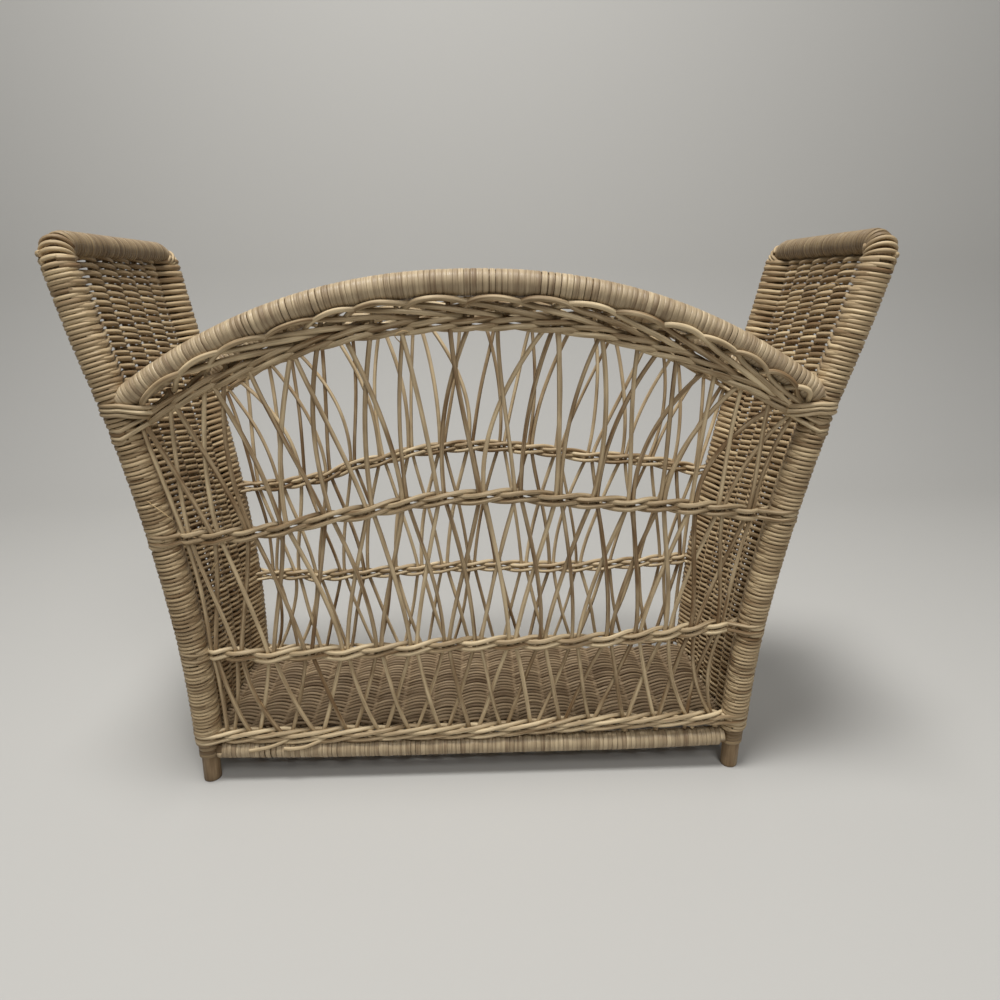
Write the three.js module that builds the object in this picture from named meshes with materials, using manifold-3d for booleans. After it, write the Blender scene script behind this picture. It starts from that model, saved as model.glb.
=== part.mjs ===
// A wicker magazine basket: two bent poles, woven ends, crossed-stake sides and a woven floor.
// Millimetres, +Z up. The front faces -Y and the two ends face -X and +X.

import * as THREE from 'three';
import { mergeVertices } from 'three/addons/utils/BufferGeometryUtils.js';
import Module from 'manifold-3d';

const wasm = await Module();
wasm.setup();

// Sizes of the frame. A hoop is one pole bent into an upside-down U, and its ends are the feet.
const topHeight = 339;
const baseHalfWidth = 177;
const topHalfWidth = 215.5;
const baseHalfDepth = 51.5;
const topHalfDepth = 63.5;
const racking = 7.3; // the feet stand this far to the left of the tops
const poleRadius = 5.65;
const cornerRadius = 12;
const bindingCuff = 2; // how far the top binding runs down each post below the bend

// How the posts flare: the share of the flare that is reached at each share of the height.
const flareHeightShares = [0, 0.13, 0.3, 0.5, 0.7, 0.87, 1];
const flareShares = [0.016, -0.02, 0, 0.164, 0.439, 0.777, 1];

// Sizes of the cane, the reeds and the room between pieces.
const caneThickness = 1.1;
const footCaneThickness = 0.9;
const weftDiameter = 2.7;
const stakeDiameter = 2.6;
const strandDiameter = 2.9;
const seatGap = 0.3;
const wrapGap = 0.45;
const rowGap = 0.5;

// Sizes of the rails.
const baseRailHeight = 24;
const baseRailRadius = 5;
const archEndHeight = 255;
const archRise = 64;
const archBowShare = 2.2;

// Sizes of the woven rows between the posts.
const baseWaleHeight = 10.5;
const topWaleHeight = 8;
const borderHeight = 9.2;
const borderThickness = 9;
const endTaper = 0.55; // how much lower the border and the top wale are at the posts
const twiningHeight = 9.5;
const lowerRowShare = 0.339; // how far up from the base wale to the top wale
const upperRowShare = 0.733;
const upperRowBowShare = 0.328; // of the rise of the arch
const lowerRowEndRise = 6.5; // how much higher the right end is than the middle
const upperRowEndRise = 5.5;

// Sizes of the lattice.
const pairCount = 17;
const edgeInset = 17.5;
const footSpread = 2.4; // how much further each stake of a pair stands from the other, at the floor
const windowFlareShare = 0.1;
const strandSinkShare = 0.1;
const pairOverlap = 0.1;
const passMargin = 1.6;

// Sizes of the end weaves and the floor.
const endStakeCount = 5;
const floorThickness = 6.8;
const floorValleyShare = 0.45; // how much of the floor's thickness is left between two stakes

// Sizes of the lashings and the nails at the ends of the arched rails.
const lashDiameter = 2.6;
const lashGap = 0.6;
const lashTurns = 2.5;
const lashPitch = 3.4;
const lashDrop = 4.5;
const lashTail = 7;
const nailRadius = 0.9;
const nailHeadRadius = 1.8;
const nailHeadThickness = 0.8;
const nailReach = 19;

// Counts of facets.
const poleSides = 8;
const railSides = 6;
const ringSides = 8;
const cornerSteps = 3;
const archSteps = 16;
const weaveSteps = 7;
const lashSteps = 12;
const lashSides = 5;
const nailSides = 6;

// What follows from the sizes above.
const trimOverrun = poleRadius;
const mergeTolerance = poleRadius / 1e4;
const legTop = topHeight - cornerRadius;
const caneRadius = poleRadius + seatGap + caneThickness;
const baseCaneRadius = baseRailRadius + seatGap + caneThickness;
const footCaneRadius = poleRadius + seatGap + footCaneThickness;
const wrapRadius = poleRadius + wrapGap + weftDiameter;
const lashRadius = (poleRadius + lashGap + lashDiameter / 2) / Math.cos(Math.PI / lashSteps);
const envelopeRadius = Math.max(wrapRadius, lashRadius + lashDiameter / 2) + seatGap;
const slabHalf = stakeDiameter / 2 + seatGap + weftDiameter * 2 / 3;
const ridgeHalf = slabHalf + weftDiameter / 6;
const valleyHalf = weftDiameter * 2 / 3;
const twiningHalf = stakeDiameter / 2 + seatGap + strandDiameter;
const baseTop = baseRailHeight + baseCaneRadius;
const weaveBottom = baseTop + seatGap;
const baseWaleMiddle = weaveBottom + baseWaleHeight / 2;
const topWaleMiddle = archEndHeight - caneRadius - borderHeight - topWaleHeight / 2 - rowGap * 2;
const pairOffset = (stakeDiameter - pairOverlap) / 2;
const windowHalf = pairOffset + stakeDiameter / 2 + seatGap * 2;

// The surfaces that the posts and the panels follow.

function flareShareAt(place) {
  const last = flareShares.length - 1;
  let from = 0;
  while (from < last - 1 && place > flareHeightShares[from + 1]) from += 1;
  const slopeAt = (index) => {
    const before = Math.max(index - 1, 0);
    const after = Math.min(index + 1, last);
    const rise = flareShares[after] - flareShares[before];
    return rise / (flareHeightShares[after] - flareHeightShares[before]);
  };
  const span = flareHeightShares[from + 1] - flareHeightShares[from];
  const t = (place - flareHeightShares[from]) / span;
  const ease = t * t * (3 - 2 * t);
  const leave = t * (1 - t) * (1 - t) * span * slopeAt(from);
  const arrive = t * t * (t - 1) * span * slopeAt(from + 1);
  return flareShares[from] + (flareShares[from + 1] - flareShares[from]) * ease + leave + arrive;
}

function halfWidthAt(height) {
  return baseHalfWidth + (topHalfWidth - baseHalfWidth) * flareShareAt(height / topHeight);
}

function halfDepthAt(height) {
  return baseHalfDepth + (topHalfDepth - baseHalfDepth) * height / topHeight;
}

function leanAt(height) {
  return -racking * (1 - height / topHeight);
}

function postX(side, height) {
  return side * halfWidthAt(height) + leanAt(height);
}

function postPoint(side, end, height) {
  return new THREE.Vector3(postX(side, height), end * halfDepthAt(height), height);
}

function postSlopeAt(height) {
  const rise = poleRadius;
  const step = postPoint(1, 1, height).sub(postPoint(1, 1, height - rise));
  return Math.hypot(step.x, step.y) / rise;
}

const weaveTop = legTop - bindingCuff - caneRadius * postSlopeAt(legTop) - seatGap;

// Shapes and solids.

function ringPoints(radius, sides) {
  const corner = (k) => Math.PI * (2 * k + 1) / sides;
  return Array.from({ length: sides }, (_, k) => new THREE.Vector2(
    radius * Math.cos(corner(k)), radius * Math.sin(corner(k))));
}

function boreRadius(radius, sides) {
  return radius / Math.cos(Math.PI / sides);
}

function roundShape(radius, sides) {
  return new THREE.Shape(ringPoints(radius, sides));
}

function sleeveShape(outer, inner, sides) {
  const shape = roundShape(outer, sides);
  shape.holes.push(new THREE.Path(ringPoints(boreRadius(inner, sides), sides)));
  return shape;
}

// A path whose rings lie exactly at its stations, so that neighbouring tubes bend alike.
class StationPath extends THREE.Curve {
  constructor(stations) {
    super();
    this.stations = stations;
  }

  getPoint(t, target = new THREE.Vector3()) {
    const place = t * (this.stations.length - 1);
    const from = Math.min(Math.floor(place), this.stations.length - 2);
    return target.lerpVectors(this.stations[from], this.stations[from + 1], place - from);
  }

  getPointAt(t, target) {
    return this.getPoint(t, target);
  }

  getTangentAt(t, target = new THREE.Vector3()) {
    const middle = Math.round(t * (this.stations.length - 1));
    const before = this.stations[Math.max(middle - 1, 0)];
    const here = this.stations[middle];
    const after = this.stations[Math.min(middle + 1, this.stations.length - 1)];
    const arriving = here.clone().sub(before).normalize();
    const leaving = after.clone().sub(here).normalize();
    return target.copy(arriving).add(leaving).normalize();
  }
}

function tube(stations, shape) {
  return new THREE.ExtrudeGeometry(shape, {
    steps: stations.length - 1,
    extrudePath: new StationPath(stations),
  });
}

// Extrudes a plan upwards from one height to another and moves each corner to its own place.
function standing(shape, from, to, steps, place) {
  const geometry = new THREE.ExtrudeGeometry(shape, { depth: to - from, steps, bevelEnabled: false });
  return moved(geometry, (corner) => place(corner.x, corner.y, corner.z + from));
}

function moved(geometry, place) {
  const positions = geometry.attributes.position;
  const corner = new THREE.Vector3();
  for (let index = 0; index < positions.count; index += 1) {
    corner.fromBufferAttribute(positions, index);
    const goal = place(corner);
    positions.setXYZ(index, goal.x, goal.y, goal.z);
  }
  return geometry;
}

function solidOf(geometry) {
  const bare = geometry.clone();
  bare.deleteAttribute('normal');
  bare.deleteAttribute('uv');
  const merged = mergeVertices(bare, mergeTolerance);
  const order = merged.index.array;
  const corners = [];
  for (let k = 0; k < order.length; k += 3) {
    const [a, b, c] = [order[k], order[k + 1], order[k + 2]];
    if (a !== b && b !== c && c !== a) corners.push(a, b, c);
  }
  const mesh = new wasm.Mesh({
    numProp: 3,
    vertProperties: new Float32Array(merged.attributes.position.array),
    triVerts: new Uint32Array(corners),
  });
  return new wasm.Manifold(mesh);
}

function geometryOf(solid) {
  const mesh = solid.asOriginal().simplify(mergeTolerance).getMesh();
  const geometry = new THREE.BufferGeometry();
  geometry.setAttribute('position', new THREE.BufferAttribute(mesh.vertProperties, 3));
  geometry.setIndex(new THREE.BufferAttribute(mesh.triVerts, 1));
  geometry.computeVertexNormals();
  return geometry;
}

function cut(solid, tools) {
  return tools.reduce((left, tool) => left.subtract(tool), solid);
}

function joined(solids) {
  return solids.reduce((whole, solid) => whole.add(solid));
}

// Materials: the colours that the photograph shows on each kind of reed.
const finishes = {
  pole: { color: 0xa8875a, roughness: 0.55 },
  cane: { color: 0xc0a279, roughness: 0.42 },
  weft: { color: 0xae8e63, roughness: 0.6 },
  stake: { color: 0xb99a6c, roughness: 0.6 },
  floor: { color: 0x8f6f4b, roughness: 0.7 },
  steel: { color: 0x77736c, roughness: 0.5, metalness: 0.8 },
};

const basket = new THREE.Group();

function addPiece(name, geometry, finish) {
  const material = new THREE.MeshStandardMaterial({ metalness: 0, ...finishes[finish] });
  const mesh = new THREE.Mesh(geometry, material);
  mesh.name = name;
  basket.add(mesh);
}

const ends = [{ word: 'left', side: -1 }, { word: 'right', side: 1 }];
const faces = [{ word: 'front', end: -1 }, { word: 'back', end: 1 }];
const corners = ends.flatMap(({ word: sideWord, side }) => faces.map(({ word, end }) => (
  { word: `${word}_${sideWord}`, side, end })));

// Stretches of a post, as plugs that follow its lean.

function postPlug(side, end, radius, from, to, steps = 1) {
  const shape = roundShape(boreRadius(radius, ringSides), ringSides);
  return solidOf(standing(shape, from, to, steps, (x, y, height) => (
    postPoint(side, end, height).add(new THREE.Vector3(x, y, 0)))));
}

const postEnvelopes = corners.map(({ side, end }) => postPlug(
  side, end, envelopeRadius, weaveBottom - seatGap, weaveTop, weaveSteps));

const footEnvelopes = corners.map(({ side, end }) => postPlug(
  side, end, footCaneRadius + seatGap, baseRailHeight - baseCaneRadius * 2, weaveBottom));

// The nails that hold the arched rails, driven along each rail from the far side of its post.

function archMiddleX() {
  return leanAt(archEndHeight);
}

function archShareAt(x) {
  return Math.abs(x - archMiddleX()) / halfWidthAt(archEndHeight);
}

function archHeightAt(x, drop = 0) {
  const share = archShareAt(x);
  const height = archEndHeight + archRise * (1 - share ** archBowShare);
  return height - drop * Math.hypot(1, archSlopeAt(x));
}

function archSlopeAt(x) {
  const steepness = archRise * archBowShare / halfWidthAt(archEndHeight);
  return -Math.sign(x - archMiddleX()) * steepness * archShareAt(x) ** (archBowShare - 1);
}

// How far under the rail the border and the top wale hang. Both get lower towards the posts.

function taperAt(x) {
  return 1 - endTaper * Math.min(archShareAt(x), 1) ** 3;
}

function borderDropAt(x) {
  return caneRadius + rowGap + borderHeight / 2 * taperAt(x);
}

function stakeTopDropAt(x) {
  return caneRadius + borderHeight * taperAt(x) + rowGap * 2;
}

function topWaleDropAt(x) {
  return stakeTopDropAt(x) + topWaleHeight / 2 * taperAt(x);
}

function nailProfile(room, overrun) {
  const head = nailHeadRadius + room;
  const shank = nailRadius + room;
  const start = -room - overrun;
  const neck = nailHeadThickness + room;
  const tip = poleRadius + nailReach + room;
  const outline = [[0, start], [head, start], [head, neck], [shank, neck], [shank, tip], [0, tip + shank]];
  return outline.map(([radius, along]) => new THREE.Vector2(radius, along));
}

function nailGeometry(side, end, room = 0, overrun = 0) {
  const middle = postPoint(side, end, archEndHeight);
  const rise = archSlopeAt(middle.x);
  const along = new THREE.Vector3(-side, 0, -side * rise).normalize();
  const geometry = new THREE.LatheGeometry(nailProfile(room, overrun), nailSides);
  geometry.translate(0, -poleRadius + nailHeadThickness, 0);
  geometry.applyQuaternion(new THREE.Quaternion().setFromUnitVectors(new THREE.Vector3(0, 1, 0), along));
  geometry.translate(middle.x, middle.y, middle.z);
  return geometry;
}

const nailHoles = corners.map(({ side, end }) => solidOf(nailGeometry(side, end, seatGap)));

const nailMouths = corners.map(({ side, end }) => (
  solidOf(nailGeometry(side, end, seatGap, trimOverrun))));

for (const { word, side, end } of corners) {
  addPiece(`${word}_rail_nail`, nailGeometry(side, end), 'steel');
}

// The two hoops. Each runs up one post, along the top bar and down the other post.

function legStations(side, end) {
  const weaveHeights = Array.from({ length: weaveSteps + 1 }, (_, k) => (
    weaveBottom + (weaveTop - weaveBottom) * k / weaveSteps));
  return [-trimOverrun, ...weaveHeights, legTop].map((height) => postPoint(side, end, height));
}

function cornerStations(side, end) {
  const stations = [];
  for (let k = 0; k <= cornerSteps; k += 1) {
    const turn = Math.PI / 2 * k / cornerSteps;
    const height = legTop + cornerRadius * Math.sin(turn);
    const reach = halfDepthAt(legTop) - cornerRadius * (1 - Math.cos(turn));
    stations.push(new THREE.Vector3(postX(side, height), end * reach, height));
  }
  return stations;
}

function barStations(side) {
  return [...cornerStations(side, -1), ...cornerStations(side, 1).reverse()];
}

function topBindingStations(side) {
  const cuff = (end) => postPoint(side, end, legTop - bindingCuff);
  return [cuff(-1), ...barStations(side), cuff(1)];
}

const groundSpan = topHalfWidth * 4;
const ground = solidOf(new THREE.BoxGeometry(groundSpan, groundSpan, groundSpan)
  .translate(0, 0, -groundSpan / 2));

for (const { word, side } of ends) {
  const path = [
    ...legStations(side, -1).slice(0, -1),
    ...barStations(side),
    ...legStations(side, 1).reverse().slice(1),
  ];
  const pole = solidOf(tube(path, roundShape(poleRadius, poleSides)));
  addPiece(`${word}_end_hoop`, geometryOf(cut(pole, [ground, ...nailMouths])), 'pole');
  addPiece(`${word}_top_binding`,
    tube(topBindingStations(side), sleeveShape(caneRadius, poleRadius + seatGap, poleSides)), 'cane');
}

// The rails round the base, each a straight pole in a sleeve of flat cane.

function railPieces(stations, tools) {
  const pole = solidOf(tube(stations, roundShape(baseRailRadius, railSides)));
  const shape = sleeveShape(baseCaneRadius, baseRailRadius + seatGap, poleSides);
  const binding = solidOf(tube(stations, shape));
  return [cut(pole, tools), cut(binding, tools)].map(geometryOf);
}

function basePoint(side, end) {
  return postPoint(side, end, baseRailHeight);
}

const longRails = faces.map(({ end }) => [basePoint(-1, end), basePoint(1, end)]);
const longRailEnvelopes = longRails.map((stations) => solidOf(
  tube(stations, roundShape(boreRadius(baseCaneRadius + seatGap, poleSides), poleSides))));

faces.forEach(({ word }, index) => {
  const [rail, binding] = railPieces(longRails[index], footEnvelopes);
  addPiece(`${word}_base_rail`, rail, 'pole');
  addPiece(`${word}_base_binding`, binding, 'cane');
});

for (const { word, side } of ends) {
  const tools = [...footEnvelopes, ...longRailEnvelopes];
  const [rail, binding] = railPieces([basePoint(side, -1), basePoint(side, 1)], tools);
  addPiece(`${word}_base_rail`, rail, 'pole');
  addPiece(`${word}_base_binding`, binding, 'cane');
}

for (const { word, side, end } of corners) {
  const shape = sleeveShape(footCaneRadius, poleRadius + seatGap, ringSides);
  const band = standing(shape, baseRailHeight - baseCaneRadius, baseTop, 1, (x, y, height) => (
    postPoint(side, end, height).add(new THREE.Vector3(x, y, 0))));
  addPiece(`${word}_foot_binding`, band, 'cane');
}

// The arched rails and the rows that follow them, between the middles of the two posts.

function archStations(end, dropAt = () => 0) {
  const half = halfWidthAt(archEndHeight);
  return Array.from({ length: archSteps + 1 }, (_, k) => {
    const x = archMiddleX() + half * (2 * k / archSteps - 1);
    const height = archHeightAt(x, dropAt(x));
    return new THREE.Vector3(x, end * halfDepthAt(height), height);
  });
}

function borderShape() {
  const tall = borderHeight / 2;
  const thick = borderThickness / 2;
  const chamfer = thick / 2;
  const outline = [
    [tall, -chamfer], [tall, chamfer], [chamfer, thick],
    [-chamfer, thick], [-tall, chamfer], [-tall, -chamfer], [-chamfer, -thick], [chamfer, -thick],
  ];
  return new THREE.Shape(outline.map(([x, y]) => new THREE.Vector2(x, y)));
}

// The border is swept with its tall side up, so its section turns with the arch but never twists.
function borderGeometry(end) {
  const stations = archStations(end, borderDropAt);
  const plan = borderShape();
  const flat = new THREE.ExtrudeGeometry(plan, { depth: archSteps, steps: archSteps, bevelEnabled: false });
  return moved(flat, (corner) => {
    const station = stations[Math.round(corner.z)];
    const slope = archSlopeAt(station.x);
    const rise = corner.x * taperAt(station.x) / Math.hypot(1, slope);
    const height = station.z + rise;
    return new THREE.Vector3(station.x - slope * rise, end * halfDepthAt(height) - corner.y, height);
  });
}

for (const { word, end } of faces) {
  const rail = solidOf(tube(archStations(end), roundShape(poleRadius, railSides)));
  const sleeve = solidOf(tube(archStations(end),
    sleeveShape(caneRadius, poleRadius + seatGap, poleSides)));
  const border = solidOf(borderGeometry(end));
  addPiece(`${word}_arch_rail`, geometryOf(cut(rail, [...postEnvelopes, ...nailHoles])), 'pole');
  addPiece(`${word}_arch_binding`, geometryOf(cut(sleeve, postEnvelopes)), 'cane');
  addPiece(`${word}_border_braid`, geometryOf(cut(border, postEnvelopes)), 'weft');
}

// The four rows that a face's stakes pass through, from the floor up.

function tiltedRow(middle, tall, bow, endRise, spread) {
  const heightAt = (x) => {
    const share = (x - leanAt(middle)) / halfWidthAt(middle);
    return middle + endRise * share + bow * Math.cos(share * Math.PI / 2) ** 2;
  };
  return { middle, heightAt, tallAt: () => tall, spread, bends: bow > 0 };
}

function rowMiddle(share) {
  return baseWaleMiddle + (topWaleMiddle - baseWaleMiddle) * share;
}

const rows = {
  base: tiltedRow(baseWaleMiddle, baseWaleHeight, 0, 0, footSpread),
  lower: tiltedRow(rowMiddle(lowerRowShare), twiningHeight, 0, lowerRowEndRise, 0),
  upper: tiltedRow(
    rowMiddle(upperRowShare), twiningHeight, archRise * upperRowBowShare, upperRowEndRise, 0),
  top: {
    middle: topWaleMiddle,
    spread: 0,
    bends: true,
    heightAt: (x) => archHeightAt(x, topWaleDropAt(x)),
    tallAt: (x) => topWaleHeight * taperAt(x) * Math.hypot(1, archSlopeAt(x)),
  },
};

function pairX(row, index) {
  const half = halfWidthAt(row.middle) - edgeInset;
  return leanAt(row.middle) + half * (2 * index / (pairCount - 1) - 1);
}

// One row as a bar with a window for each pair of stakes, then bent along its face. A row that
// bends has a place on its edge at each pair, a little deeper over one pair than over the next.
function rowGeometry(row, end) {
  const left = { x: postX(-1, row.middle), thick: twiningHalf };
  const right = { x: postX(1, row.middle), thick: twiningHalf };
  const swells = row.bends ? Array.from({ length: pairCount }, (_, index) => ({
    x: pairX(row, index), thick: twiningHalf - strandDiameter * strandSinkShare * (index % 2),
  })) : [];
  const edge = [left, ...swells, right];
  const plan = new THREE.Shape([
    ...edge.map(({ x, thick }) => new THREE.Vector2(x, -thick)),
    ...edge.map(({ x, thick }) => new THREE.Vector2(x, thick)).reverse(),
  ]);
  const room = stakeDiameter / 2 + seatGap;
  const flared = 1 + windowFlareShare;
  for (let index = 0; index < pairCount; index += 1) {
    const middle = pairX(row, index);
    const corner = ([x, y]) => new THREE.Vector2(middle + x * (windowHalf + row.spread), y * room);
    const outline = [[-1, -1], [-1, 1], [1, flared], [1, -flared]];
    plan.holes.push(new THREE.Path(outline.map(corner)));
  }
  return standing(plan, 0, 1, 1, (x, y, share) => {
    const height = row.heightAt(x) + row.tallAt(x) * (share - 1 / 2);
    return new THREE.Vector3(x, end * halfDepthAt(height) + y, height);
  });
}

const rowNames = { base: 'base_wale', lower: 'lower_twining', upper: 'upper_twining', top: 'top_wale' };

for (const { word, end } of faces) {
  for (const [key, row] of Object.entries(rows)) {
    const bar = solidOf(rowGeometry(row, end));
    addPiece(`${word}_${rowNames[key]}`, geometryOf(cut(bar, postEnvelopes)), 'weft');
  }
}

// The lattice of crossed stakes: a flat net, drawn in its face's plane and joined at each crossing.

// One stake, cut from a sheet as thick as itself, through the places where it bends.
function stakeSolid(places) {
  const half = stakeDiameter / 2;
  const plan = new THREE.Shape([
    ...places.map(({ x, height }) => new THREE.Vector2(x + half, height)),
    ...places.map(({ x, height }) => new THREE.Vector2(x - half, height)).reverse(),
  ]);
  return solidOf(new THREE.ExtrudeGeometry(plan, { depth: stakeDiameter, bevelEnabled: false }));
}

// Where a stake enters and leaves a row. It runs upright for as long as it is inside.
function passOf(key, index, hand) {
  const row = rows[key];
  const middle = pairX(row, index);
  const half = row.tallAt(middle) / 2 + passMargin;
  const height = row.heightAt(middle);
  const x = middle + hand * (pairOffset + row.spread);
  const edgeAt = (side) => x + side * stakeDiameter / 2;
  const borderAt = (side) => archHeightAt(edgeAt(side), stakeTopDropAt(edgeAt(side)));
  const foot = key === 'base' ? weaveBottom : height - half;
  const head = key === 'top' ? Math.min(borderAt(-1), borderAt(1)) : height + half;
  return { x, foot, head };
}

// A stake starts at one side of a pair and swings to the neighbouring pair and back, row by row.
function latticeSolid() {
  const stakes = [];
  for (let start = 0; start < pairCount; start += 1) {
    for (const hand of [-1, 1]) {
      const places = [];
      Object.keys(rows).forEach((key, level) => {
        const away = level % 2 === 1;
        const goal = away ? start + hand : start;
        const index = Math.min(Math.max(goal, 0), pairCount - 1);
        const turned = away && index === goal;
        const pass = passOf(key, index, turned ? -hand : hand);
        places.push({ x: pass.x, height: pass.foot }, { x: pass.x, height: pass.head });
      });
      stakes.push(stakeSolid(places));
    }
  }
  return joined(stakes);
}

for (const { word, end } of faces) {
  const net = moved(geometryOf(latticeSolid()), (corner) => new THREE.Vector3(
    corner.x, end * halfDepthAt(corner.y) + stakeDiameter / 2 - corner.z, corner.y));
  addPiece(`${word}_lattice`, net, 'stake');
}

// The woven ends: a slab between two rings that go round the posts, with a bore for each stake.

const shoulderTurn = Math.asin(slabHalf / wrapRadius);
const shoulder = wrapRadius * Math.cos(shoulderTurn);
const slabReach = halfDepthAt(weaveTop) - shoulder;
const stakePitch = 2 * slabReach / (endStakeCount + 1);

function endPlace(side) {
  return (depth, thick, height) => {
    const reach = halfDepthAt(height) - shoulder;
    const away = Math.abs(depth) - slabReach;
    const nearest = Math.round(depth / stakePitch) * stakePitch;
    const beside = depth - nearest;
    const scale = reach / slabReach;
    const atStake = Math.abs(beside) < stakePitch / 4;
    const onRing = away > -mergeTolerance;
    const between = atStake ? nearest * scale + beside : depth * scale;
    const y = onRing ? Math.sign(depth) * (reach + away) : between;
    return new THREE.Vector3(postX(side, height) - thick, y, height);
  };
}

// The weave swells over each stake and is thin where its wefts cross between two stakes.
function ridgePoints(face) {
  const spans = endStakeCount - 1;
  return Array.from({ length: 2 * spans + 1 }, (_, k) => new THREE.Vector2(
    (k - spans) / 2 * stakePitch, face * (k % 2 === 0 ? ridgeHalf : valleyHalf)));
}

function endWeaveShape() {
  const post = slabReach + shoulder;
  const sweep = 2 * (Math.PI - shoulderTurn);
  const arc = (middle, start) => Array.from({ length: ringSides + 1 }, (_, k) => {
    const turn = start + sweep * k / ringSides;
    return new THREE.Vector2(middle + wrapRadius * Math.cos(turn), wrapRadius * Math.sin(turn));
  });
  const shape = new THREE.Shape([
    ...arc(post, shoulderTurn - Math.PI), ...ridgePoints(1).reverse(),
    ...arc(-post, shoulderTurn), ...ridgePoints(-1),
  ]);
  const bore = ringPoints(boreRadius(poleRadius + wrapGap, ringSides), ringSides);
  for (const middle of [-post, post]) {
    shape.holes.push(new THREE.Path(bore.map(({ x, y }) => new THREE.Vector2(middle + x, y))));
  }
  for (let index = 0; index < endStakeCount; index += 1) {
    const room = stakeDiameter / 2 + seatGap;
    shape.holes.push(new THREE.Path(stakeSection(index, room)));
  }
  return shape;
}

function stakeSection(index, half) {
  const middle = (index - (endStakeCount - 1) / 2) * stakePitch;
  const point = half * Math.SQRT2;
  return [[-1, 0], [0, 1], [1, 0], [0, -1]].map(([x, y]) => (
    new THREE.Vector2(middle + x * point, y * point)));
}

const lashMiddle = archEndHeight - lashDrop;
const lashHalfBand = (lashTurns * lashPitch + lashDiameter) / 2 + wrapGap;
const lashRoom = Math.hypot(lashRadius + lashDiameter / 2, slabHalf) + seatGap;
const lashBands = corners.map(({ side, end }) => postPlug(
  side, end, lashRoom, lashMiddle - lashHalfBand, lashMiddle + lashHalfBand));

for (const { word, side } of ends) {
  const slab = solidOf(standing(endWeaveShape(), weaveBottom, weaveTop, weaveSteps, endPlace(side)));
  addPiece(`${word}_end_weave`, geometryOf(cut(slab, [...lashBands, ...nailHoles])), 'weft');
  const stakeHead = topHeight - caneRadius - seatGap;
  for (let index = 0; index < endStakeCount; index += 1) {
    const section = new THREE.Shape(stakeSection(index, stakeDiameter / 2).reverse());
    const lower = solidOf(standing(section, weaveBottom, weaveTop, weaveSteps, endPlace(side)));
    const upper = solidOf(standing(section, weaveTop, stakeHead, 1, endPlace(side)));
    addPiece(`${word}_end_stake_${index + 1}`, geometryOf(lower.add(upper)), 'stake');
  }
}

// The woven floor, resting on the base rails and notched round the posts. Its stakes run from front
// to back, one under each pair of a face's stakes, and it swells over each of them.

const floorX = (side) => postX(side, weaveBottom) - side * (ridgeHalf + seatGap);
const floorHalfDepth = halfDepthAt(weaveBottom) - twiningHalf - seatGap;

function floorEdge(face) {
  const swell = (x, share) => new THREE.Vector2(x, floorThickness / 2 * (1 + face * share));
  const waves = Array.from({ length: 2 * pairCount - 1 }, (_, k) => (
    swell(pairX(rows.base, k / 2), k % 2 === 0 ? 1 : floorValleyShare)));
  return [swell(floorX(-1), floorValleyShare), ...waves, swell(floorX(1), floorValleyShare)];
}

const floorSlab = solidOf(moved(
  new THREE.ExtrudeGeometry(new THREE.Shape([...floorEdge(-1), ...floorEdge(1).reverse()]), {
    depth: floorHalfDepth * 2, steps: 1, bevelEnabled: false,
  }),
  (corner) => new THREE.Vector3(corner.x, floorHalfDepth - corner.z, weaveBottom + corner.y)));
addPiece('floor_weave', geometryOf(cut(floorSlab, postEnvelopes)), 'floor');

// The lashings: one strand wound round each post at the end of the arched rail.

function lashStations(side, end) {
  const steps = Math.round(lashTurns * lashSteps);
  const stations = Array.from({ length: steps + 1 }, (_, k) => {
    const turn = 2 * Math.PI * lashTurns * k / steps;
    const height = lashMiddle + lashPitch * lashTurns * (1 / 2 - k / steps);
    const offset = new THREE.Vector3(side * Math.sin(turn), end * Math.cos(turn), 0);
    return postPoint(side, end, height).addScaledVector(offset, lashRadius);
  });
  const inwards = new THREE.Vector3(-side * lashTail, 0, 0);
  const first = stations[0].clone().add(inwards);
  const last = stations[steps].clone().add(inwards);
  return [first, ...stations, last];
}

// The least room between two stretches of one lashing that are at least half a turn apart.
function leastSelfGap(stations) {
  let least = Infinity;
  for (let a = 0; a < stations.length; a += 1) {
    for (let b = a + lashSteps / 2; b < stations.length; b += 1) {
      least = Math.min(least, stations[a].distanceTo(stations[b]));
    }
  }
  return least - lashDiameter;
}

for (const { word, side, end } of corners) {
  const stations = lashStations(side, end);
  console.log(`${word}_lashing: least gap to itself ${leastSelfGap(stations).toFixed(2)} mm`);
  addPiece(`${word}_lashing`, tube(stations, roundShape(lashDiameter / 2, lashSides)), 'weft');
}

export default basket;
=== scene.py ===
"""Magazine basket of rattan poles, flat cane and round reed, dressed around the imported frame."""
import logging
import math
from dataclasses import dataclass, field
from enum import Enum
from typing import Optional, Sequence

import bpy
import numpy as np
from mathutils import Matrix, Vector


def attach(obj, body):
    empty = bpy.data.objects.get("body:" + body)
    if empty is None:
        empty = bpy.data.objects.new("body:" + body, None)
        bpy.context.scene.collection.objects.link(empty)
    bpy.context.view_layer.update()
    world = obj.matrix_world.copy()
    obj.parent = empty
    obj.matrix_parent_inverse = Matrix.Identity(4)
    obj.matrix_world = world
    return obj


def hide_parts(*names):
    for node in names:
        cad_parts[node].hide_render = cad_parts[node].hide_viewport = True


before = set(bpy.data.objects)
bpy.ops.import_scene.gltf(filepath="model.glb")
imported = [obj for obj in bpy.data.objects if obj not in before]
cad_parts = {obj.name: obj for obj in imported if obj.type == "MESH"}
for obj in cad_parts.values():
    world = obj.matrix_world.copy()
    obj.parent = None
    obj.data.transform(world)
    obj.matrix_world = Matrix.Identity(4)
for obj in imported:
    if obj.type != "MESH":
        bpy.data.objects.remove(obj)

log = logging.getLogger("basket")
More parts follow.
